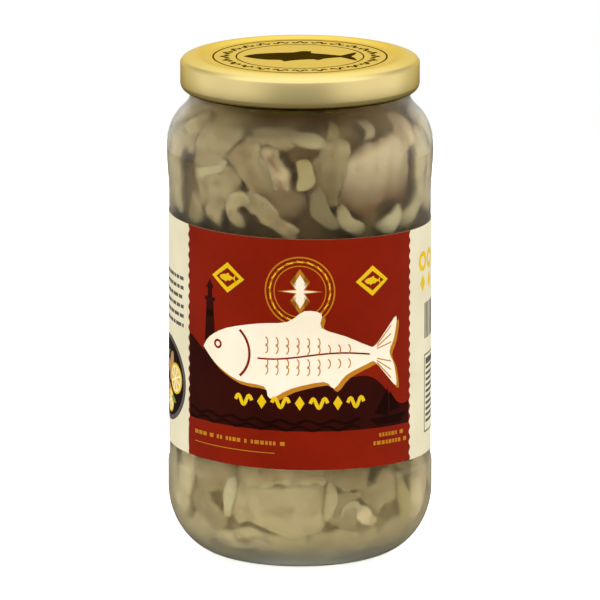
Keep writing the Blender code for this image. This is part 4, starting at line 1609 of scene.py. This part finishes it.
@dataclass
class PackedHerring:
    """The fish and onion in the jar: slices pressed to the glass round a murky middle.

    The slices follow the wall up to the neck, and the middle follows the bore up into it, where it
    carries the painted shade under the cap.
    """
    wall: Wall
    bore: Wall
    foot: float = 27.2
    seed: int = 11
    end_reach: float = 0.997
    squareness: float = 0.7
    clearance: float = 0.5
    softness: float = 0.7
    # The middle reaches up into the neck above the slices, as a dark body for the painted shade
    # under the cap
    core_heights: Point = (5.4, 170.5)
    core_depth: float = 7.5
    core_label_depth: float = 3.4
    core_end_depth: float = 3.6
    core_lumps: Point = (1.3, 0.4)
    label_span: Point = (40.0, 121.0)
    label_ease: float = 8.0
    end_span: Point = (22.0, 150.0)
    end_ease: float = 9.0
    core_sides: int = 90
    core_rings: int = 60
    # Darker tones for the fish behind: painted shade, as they lie deeper in the jar
    behind_tones: Stops = ((0.0, "66502E"), (0.35, "7A6440"), (0.65, "8C7650"), (1.0, "9A8660"))
    fine: tuple[int, int] = (44, 44)
    coarse: tuple[int, int] = (22, 28)
    side_waves: tuple[Point, ...] = ((0.4, 11.0), (0.22, 6.1), (0.12, 3.3))
    end_waves: tuple[Point, ...] = ((0.8, 13.0), (0.4, 6.3), (0.2, 3.1))
    back_rows: tuple = ((151.0, 92.0, 22.0, 9), (133.0, 84.0, 21.0, 10), (31.0, 86.0, 21.0, 10),
                        (13.0, 78.0, 25.0, 9))
    floor_rings: tuple = ((20.0, 12.0, 5), (0.0, 0.0, 1))
    behind_rows: tuple = ((159.0, 14), (151.0, 15), (139.0, 16), (127.0, 16), (36.0, 16),
                          (24.0, 16), (12.0, 14), (7.5, 12))

    def press(self, depth: np.ndarray) -> np.ndarray:
        """Keep depths off the glass, flattening what would pass through it."""
        over = (depth - self.clearance) / self.softness
        return self.clearance + self.softness * np.logaddexp(0.0, over)

    def cuts(self, draw: random.Random) -> list[Cut]:
        """Every piece that shows, its height turned into the distance along the wall.

        Args:
            draw: the random source, whose draws follow the CAD source's order.

        Returns:
            The front's own pieces, then rows round the back and rings on the floor.
        """
        fish = {"length": (22, 30), "width": (13, 19), "thickness": (7, 9), "depth": (0.4, 1.6)}
        onion = {"turn": (20, 160), "length": (17, 26), "width": (6, 8), "depth": (0.5, 1.2)}
        floor = {"turn": (0, 180), "length": (24, 30), "width": (16, 20), "depth": (0.4, 1.2)}

        def spread(kind: Kind, azimuth: float, along: float, ranges: Mapping[str, Point],
                   **fixed: float) -> Cut:
            """Make a piece whose sizes are drawn from ranges.

            Args:
                kind: what it is cut from.
                azimuth: where it lies round the jar.
                along: where it lies along the wall.
                ranges: each drawn size with its limits.
                fixed: the other sizes.

            Returns:
                The piece.
            """
            sizes = {name: draw.uniform(*limits) for name, limits in ranges.items()}
            tone = 0.75 * ((azimuth * 0.37 + along * 0.11) % 1.0)
            return Cut(kind, azimuth, along, tone=tone, streak=0.6 * tone, **fixed, **sizes)

        found = [cut._replace(height=self.wall.along_at(cut.height, self.foot))
                 for cut in FRONT_UPPER + FRONT_LOWER]
        for height, first, step, count in self.back_rows:
            for i in range(count):
                azimuth = first + step * i + draw.uniform(-3.0, 3.0)
                along = self.wall.along_at(height + draw.uniform(-3.0, 3.0), self.foot)
                turn = draw.choice((10, 40, 80, 110, 150))
                lean = draw.uniform(-7.0, 7.0)
                kind = SKIN if i % 3 == 1 else FLESH
                found.append(spread(kind, azimuth, along, fish, turn=turn, lean=lean))
                if i % 2:
                    found.append(spread(ONION, azimuth + 0.5 * step, along, onion, lean=0.0,
                                        thickness=4.0))
        for distance, first, count in self.floor_rings:
            for i in range(count):
                found.append(spread(FLESH, first + 360.0 * i / count, distance, floor, lean=0.0,
                                    thickness=8.0))
        return found

    def behind(self, draw: random.Random) -> list[Cut]:
        """More fish behind the pieces at the glass, which fills the gaps between them.

        Args:
            draw: the random source.

        Returns:
            The pieces, from the neck down.
        """
        ranges = ((0, 180), (19, 29), (10, 16), (5, 7), (3.5, 6.5), (-9, 9), (0, 1), (0, 0.7))
        found = []
        for height, count in self.behind_rows:
            for i in range(count):
                sizes = [draw.uniform(*limits) for limits in ranges]
                azimuth = 360.0 * i / count + draw.uniform(-8.0, 8.0)
                along = self.wall.along_at(height + draw.uniform(-3.0, 3.0), self.foot)
                found.append(Cut(Kind.BEHIND, azimuth, along, *sizes))
        return found

    def slice_of(self, cut: Cut, draw: random.Random, number: int) -> Shell:
        """Shape one slice and lay it against the glass.

        Args:
            cut: the slice.
            draw: the random source that the CAD source shares.
            number: the slice's place in the list.

        Returns:
            The slice's closed surface.
        """
        onion = cut.kind is ONION
        front = number < len(FRONT_UPPER + FRONT_LOWER)
        rings, around = self.fine if front else self.coarse
        phase = [draw.uniform(0, math.tau) for _ in range(2)]
        taper = draw.uniform(-0.22, 0.22)
        bow = draw.uniform(0.15, 0.35) * cut.width if onion else 0.0
        curl = draw.uniform(0.0, 2.0)
        waves = np.random.default_rng(1000 + number).uniform(0, math.tau, 12)
        t = self.end_reach * np.sin(np.linspace(-np.pi / 2, np.pi / 2, rings + 1))[:, None]
        angle = (math.tau * (np.arange(around) + 0.5) / around)[None, :]
        c, s = np.cos(angle), np.sin(angle)
        blunt = 2.6 if onion else 4.0
        end = (1 - np.abs(t) ** blunt) ** (1 / blunt)
        waist = 1 + taper * t + 0.1 * np.sin(4.5 * t + phase[0])
        along = 0.5 * cut.length * t
        rag = sum(a * np.sin(along / w * math.tau + waves[k] + 2.0 * np.sign(c) * k)
                  for k, (a, w) in enumerate(self.side_waves))
        calm = 0.2 if onion or cut.bend else 1.0 if front else 0.6
        half_width = 0.5 * cut.width * end * waist + rag * end * calm
        half_depth = 0.5 * cut.thickness * end
        across = 0.07 * cut.width * np.sin(3.4 * t + phase[1]) + bow * (t * t - 0.4)
        q = across + half_width * np.sign(c) * np.abs(c) ** self.squareness
        p = along + calm * np.sign(t) * np.abs(t) ** 6 * sum(
            a * np.sin(q / w * math.tau + waves[k]) for k, (a, w) in enumerate(self.end_waves, 4))
        lumps = 0.3 * np.sin(p / 7.1 * math.tau + 2.2 * np.sin(q / 8.3 + waves[8]) + waves[9])
        lumps += 0.22 * np.sin(q / 5.7 * math.tau + 1.8 * np.sin(p / 6.1 + waves[10]) + waves[11])
        inside = (cut.depth + 0.5 * cut.thickness + curl * t * t
                  + math.tan(math.radians(cut.lean)) * q
                  + half_depth * np.sign(s) * np.abs(s) ** self.squareness + lumps * calm)
        grain = np.stack([p + 100.0 * number, q, s + 0 * p], -1)
        if cut.bend:
            reach = cut.length / math.radians(cut.bend)
            p, q = (reach + q) * np.sin(p / reach), (reach + q) * np.cos(p / reach) - reach
        turn = math.radians(cut.turn)
        u = p * math.cos(turn) - q * math.sin(turn)
        v = p * math.sin(turn) + q * math.cos(turn)
        sunk = self.press(inside)
        points = self.wall.place(math.radians(cut.azimuth), cut.height, u, v, sunk)
        rim = np.maximum(np.abs(c) + 0 * t, np.abs(t) ** 3 + 0 * c)
        return self.closed(points, {"sunk": sunk, "rim": rim, "grain": grain,
                                    "tone": cut.tone + cut.fade * t + 0 * sunk,
                                    "streak": np.full_like(sunk, cut.streak)})

    def closed(self, points: np.ndarray, marks: dict[str, np.ndarray]) -> Shell:
        """Join loops of points into a surface and close both ends.

        Args:
            points: loops by places in the loop.
            marks: values at the same points.

        Returns:
            The closed surface.
        """
        loops, around = points.shape[:2]
        index = np.arange(loops * around).reshape(loops, around)
        ahead = np.roll(index, -1, 1)
        faces = np.stack([index[:-1], ahead[:-1], ahead[1:], index[1:]], -1).reshape(-1, 4)
        fans = [(int(b), int(a), loops * around) for a, b in zip(index[0], ahead[0])]
        fans += [(int(a), int(b), loops * around + 1) for a, b in zip(index[-1], ahead[-1])]
        flat = {}
        for name, values in {"": points, **marks}.items():
            ends = np.stack([values[0].mean(0), values[-1].mean(0)])
            flat[name] = np.concatenate([values.reshape((-1,) + values.shape[2:]), ends])
        return Shell(flat.pop(""), [tuple(f) for f in faces.tolist()] + fans, flat)

    def core(self) -> Shell:
        """The murky middle, which lies close to the glass only behind the label.

        Returns:
            Its closed surface.
        """
        first, last = (self.bore.along_at(z, self.foot) for z in self.core_heights)
        along = np.linspace(first, last, self.core_rings + 1)[:, None]
        height = self.bore.at(along)[1]
        hidden = (smooth_step((height - self.label_span[0]) / self.label_ease)
                  * smooth_step((self.label_span[1] - height) / self.label_ease))
        azimuth = np.linspace(0, math.tau, self.core_sides, endpoint=False)[None, :]
        lump = np.sin(5 * azimuth + height / 9.0) * np.cos(3 * azimuth - 1.3)
        lump = lump + 0.8 * np.sin(11 * azimuth - height / 3.7) * np.cos(height / 5.1)
        ends = (smooth_step((height - self.end_span[1]) / self.end_ease)
                + smooth_step((self.end_span[0] - height) / self.end_ease))
        depth = self.core_depth + (self.core_label_depth - self.core_depth) * hidden
        depth = depth + (self.core_end_depth - self.core_depth) * ends
        free, pressed = self.core_lumps
        depth = depth + (free + (pressed - free) * hidden) * lump
        radius, level = self.bore.at(along)
        toward_axis, up = self.bore.inward(along)
        radius, level = radius + toward_axis * depth, level + up * depth
        spots = (radius * np.sin(azimuth), -radius * np.cos(azimuth), level + 0 * azimuth)
        return self.closed(np.stack(spots, -1) * MM, {"sunk": depth})

    def mesh_of(self, name: str, shells: Sequence[Shell]) -> Mesh:
        """Put closed surfaces into one mesh, with their marks as attributes.

        Args:
            name: the mesh's name.
            shells: the surfaces.

        Returns:
            The mesh, its faces pointing out.
        """
        faces = []
        offset = 0
        for shell in shells:
            faces += [tuple(i + offset for i in face) for face in shell.faces]
            offset += len(shell.points)
        mesh = bpy.data.meshes.new(name)
        mesh.from_pydata(np.concatenate([shell.points for shell in shells]).tolist(), [], faces)
        for mark in shells[0].marks:
            values = np.concatenate([shell.marks[mark] for shell in shells]).astype(np.float32)
            vector = values.ndim == 2
            attribute = mesh.attributes.new(mark, "FLOAT_VECTOR" if vector else "FLOAT", "POINT")
            attribute.data.foreach_set("vector" if vector else "value", values.ravel())
        bm = bmesh.new()
        bm.from_mesh(mesh)
        bmesh.ops.recalc_face_normals(bm, faces=bm.faces)
        bm.to_mesh(mesh)
        bm.free()
        return mesh

    def build(self) -> None:
        """Make the slices, one piece of the model for each kind, and the middle."""
        draw = random.Random(self.seed)
        heap: dict[Kind, list[Shell]] = {kind: [] for kind in Kind}
        for number, cut in enumerate(self.cuts(draw)):
            heap[cut.kind].append(self.slice_of(cut, draw, number))
        draw = random.Random(self.seed + 1)
        for number, cut in enumerate(self.behind(draw), 200):
            heap[cut.kind].append(self.slice_of(cut, draw, number))
        # A shaded copy of the flesh, its tones and rim darkened as painted shade, for the fish
        # behind
        shaded = HerringFlesh("herring_flesh_behind", self.behind_tones, rim="9A8660")
        finishes = {FLESH: HerringFlesh(), SKIN: HerringSkin(), ONION: PickledOnion(),
                    Kind.BEHIND: shaded}
        for kind, shells in heap.items():
            new_piece(kind.value, self.mesh_of(kind.value, shells), finishes[kind], "herring",
                      "herring_heap", sharp=80.0)
        middle = self.mesh_of("packed_middle", [self.core()])
        new_piece("packed_middle", middle, PackedMiddle(), "herring", sharp=80.0)


@dataclass
class WineSauce:
    """The liquid, which reaches just into the wall so that no air shows between them."""
    jar: GlassJar
    overlap: float = 0.25
    level: float = 172.0
    sides: int = 160

    def build(self) -> None:
        """Fill the jar up into its neck."""
        outline = self.jar.inside(inset=-self.overlap)
        outline += [(self.jar.neck_bore + self.overlap, self.level), (0.0, self.level)]
        new_piece("wine_sauce", turned("wine_sauce", outline, self.sides), WINE_BRINE, "herring")


class Softbox(NamedTuple):
    """A soft light on the studio's dome, or a dark card with a strength below zero."""
    azimuth: float
    elevation: float
    inner: float
    outer: float
    strength: float


@dataclass
class Studio:
    """White paper, a dome of soft light and the camera."""
    target: tuple[float, float, float] = (0.0, 0.0, 90.8)
    distance: float = 3500.0
    elevation: float = 12.2
    frame_width: float = 214.3
    clip_end: float = 20000.0
    floor_radius: float = 760.0
    base_light: float = 0.5
    ground_light: float = 0.45
    bounce_light: float = 1.1
    bounces: int = 24
    boxes: tuple[Softbox, ...] = (
        Softbox(-72.0, 8.0, 15.0, 55.0, 0.55),
        Softbox(72.0, 8.0, 15.0, 55.0, 0.62),
        Softbox(0.0, 78.0, 25.0, 65.0, 1.0),
        Softbox(-126.0, -4.0, 8.0, 42.0, 0.35),
        Softbox(126.0, -4.0, 8.0, 42.0, 0.35),
        Softbox(-163.0, -12.0, 4.0, 22.0, -0.16),
        Softbox(163.0, -12.0, 4.0, 22.0, -0.16),
        Softbox(180.0, 20.0, 12.0, 38.0, 0.62),
        Softbox(180.0, 46.0, 8.0, 28.0, 0.4),
    )

    def build(self) -> None:
        """Lay the floor, light the dome and set up the camera."""
        bm = bmesh.new()
        bmesh.ops.create_circle(bm, cap_ends=True, radius=self.floor_radius * MM, segments=128)
        floor = placed("studio_floor", mesh_from("studio_floor", bm))
        floor.data.materials.append(StudioPaper().material())
        self.light()
        self.camera()

    def light(self) -> None:
        """Light by direction: soft boxes on a dim dome, and white where the camera looks."""
        scene = bpy.context.scene
        scene.view_settings.view_transform = "Standard"
        for limit in ("max_bounces", "transmission_bounces", "transparent_max_bounces"):
            setattr(scene.cycles, limit, self.bounces)
        scene.world = bpy.data.worlds.new("studio_dome")
        scene.world.use_nodes = True
        scene.world.node_tree.nodes.clear()
        add = partial(add_node, scene.world.node_tree)
        place = add("TexCoord", out="Generated")
        total: Socket | float = self.base_light
        for box in self.boxes:
            azimuth, elevation, inner, outer = np.radians(box[:4]).tolist()
            flat = math.cos(elevation)
            toward = (flat * math.sin(azimuth), -flat * math.cos(azimuth), math.sin(elevation))
            dot = add("VectorMath", (place, toward), "Value", operation="DOT_PRODUCT")
            lobe = add("MapRange", (dot, math.cos(outer), math.cos(inner), 0.0, box.strength),
                       interpolation_type="SMOOTHSTEP")
            total = add("Math", (lobe, total), operation="ADD")
        path = add("LightPath").node.outputs
        up = add("SeparateXYZ", (place,), "Z")
        for factor in (add("MapRange", (up, -0.45, -0.05, self.ground_light, 1.0)),
                       add("MapRange", (path["Is Diffuse Ray"], 0.0, 1.0, 1.0,
                                        self.bounce_light))):
            total = add("Math", (total, factor), operation="MULTIPLY")
        looked_at = add("Math", (path["Is Camera Ray"], path["Is Transmission Ray"]),
                        operation="MAXIMUM")
        lit, seen = [add("Background", (WHITE, strength)) for strength in (total, 1.0)]
        add("OutputWorld", {"Surface": add("MixShader", (looked_at, lit, seen))})

    def camera(self) -> None:
        """Set the camera at the photograph's angle."""
        data = bpy.data.cameras.new("camera")
        data.lens = data.sensor_width * self.distance / self.frame_width
        data.clip_end = self.clip_end * MM
        camera = placed("camera", data)
        angle = math.radians(self.elevation)
        back = Vector((0.0, -math.cos(angle), math.sin(angle)))
        camera.location = (Vector(self.target) + back * self.distance) * MM
        camera.rotation_euler = (-back).to_track_quat("-Z", "Y").to_euler()
        bpy.context.scene.camera = camera


def main() -> None:
    """Build the jar's pieces in order."""
    logging.basicConfig(level=logging.INFO, format="%(name)s: %(message)s")
    jar = GlassJar()
    jar.build()
    TwistCap().build()
    PaperLabel().build()
    inside = jar.inside()
    PackedHerring(Wall(inside), Wall([*inside, (jar.neck_bore, jar.lip_top)])).build()
    WineSauce(jar).build()
    Studio().build()


if __name__ == "__main__":
    main()
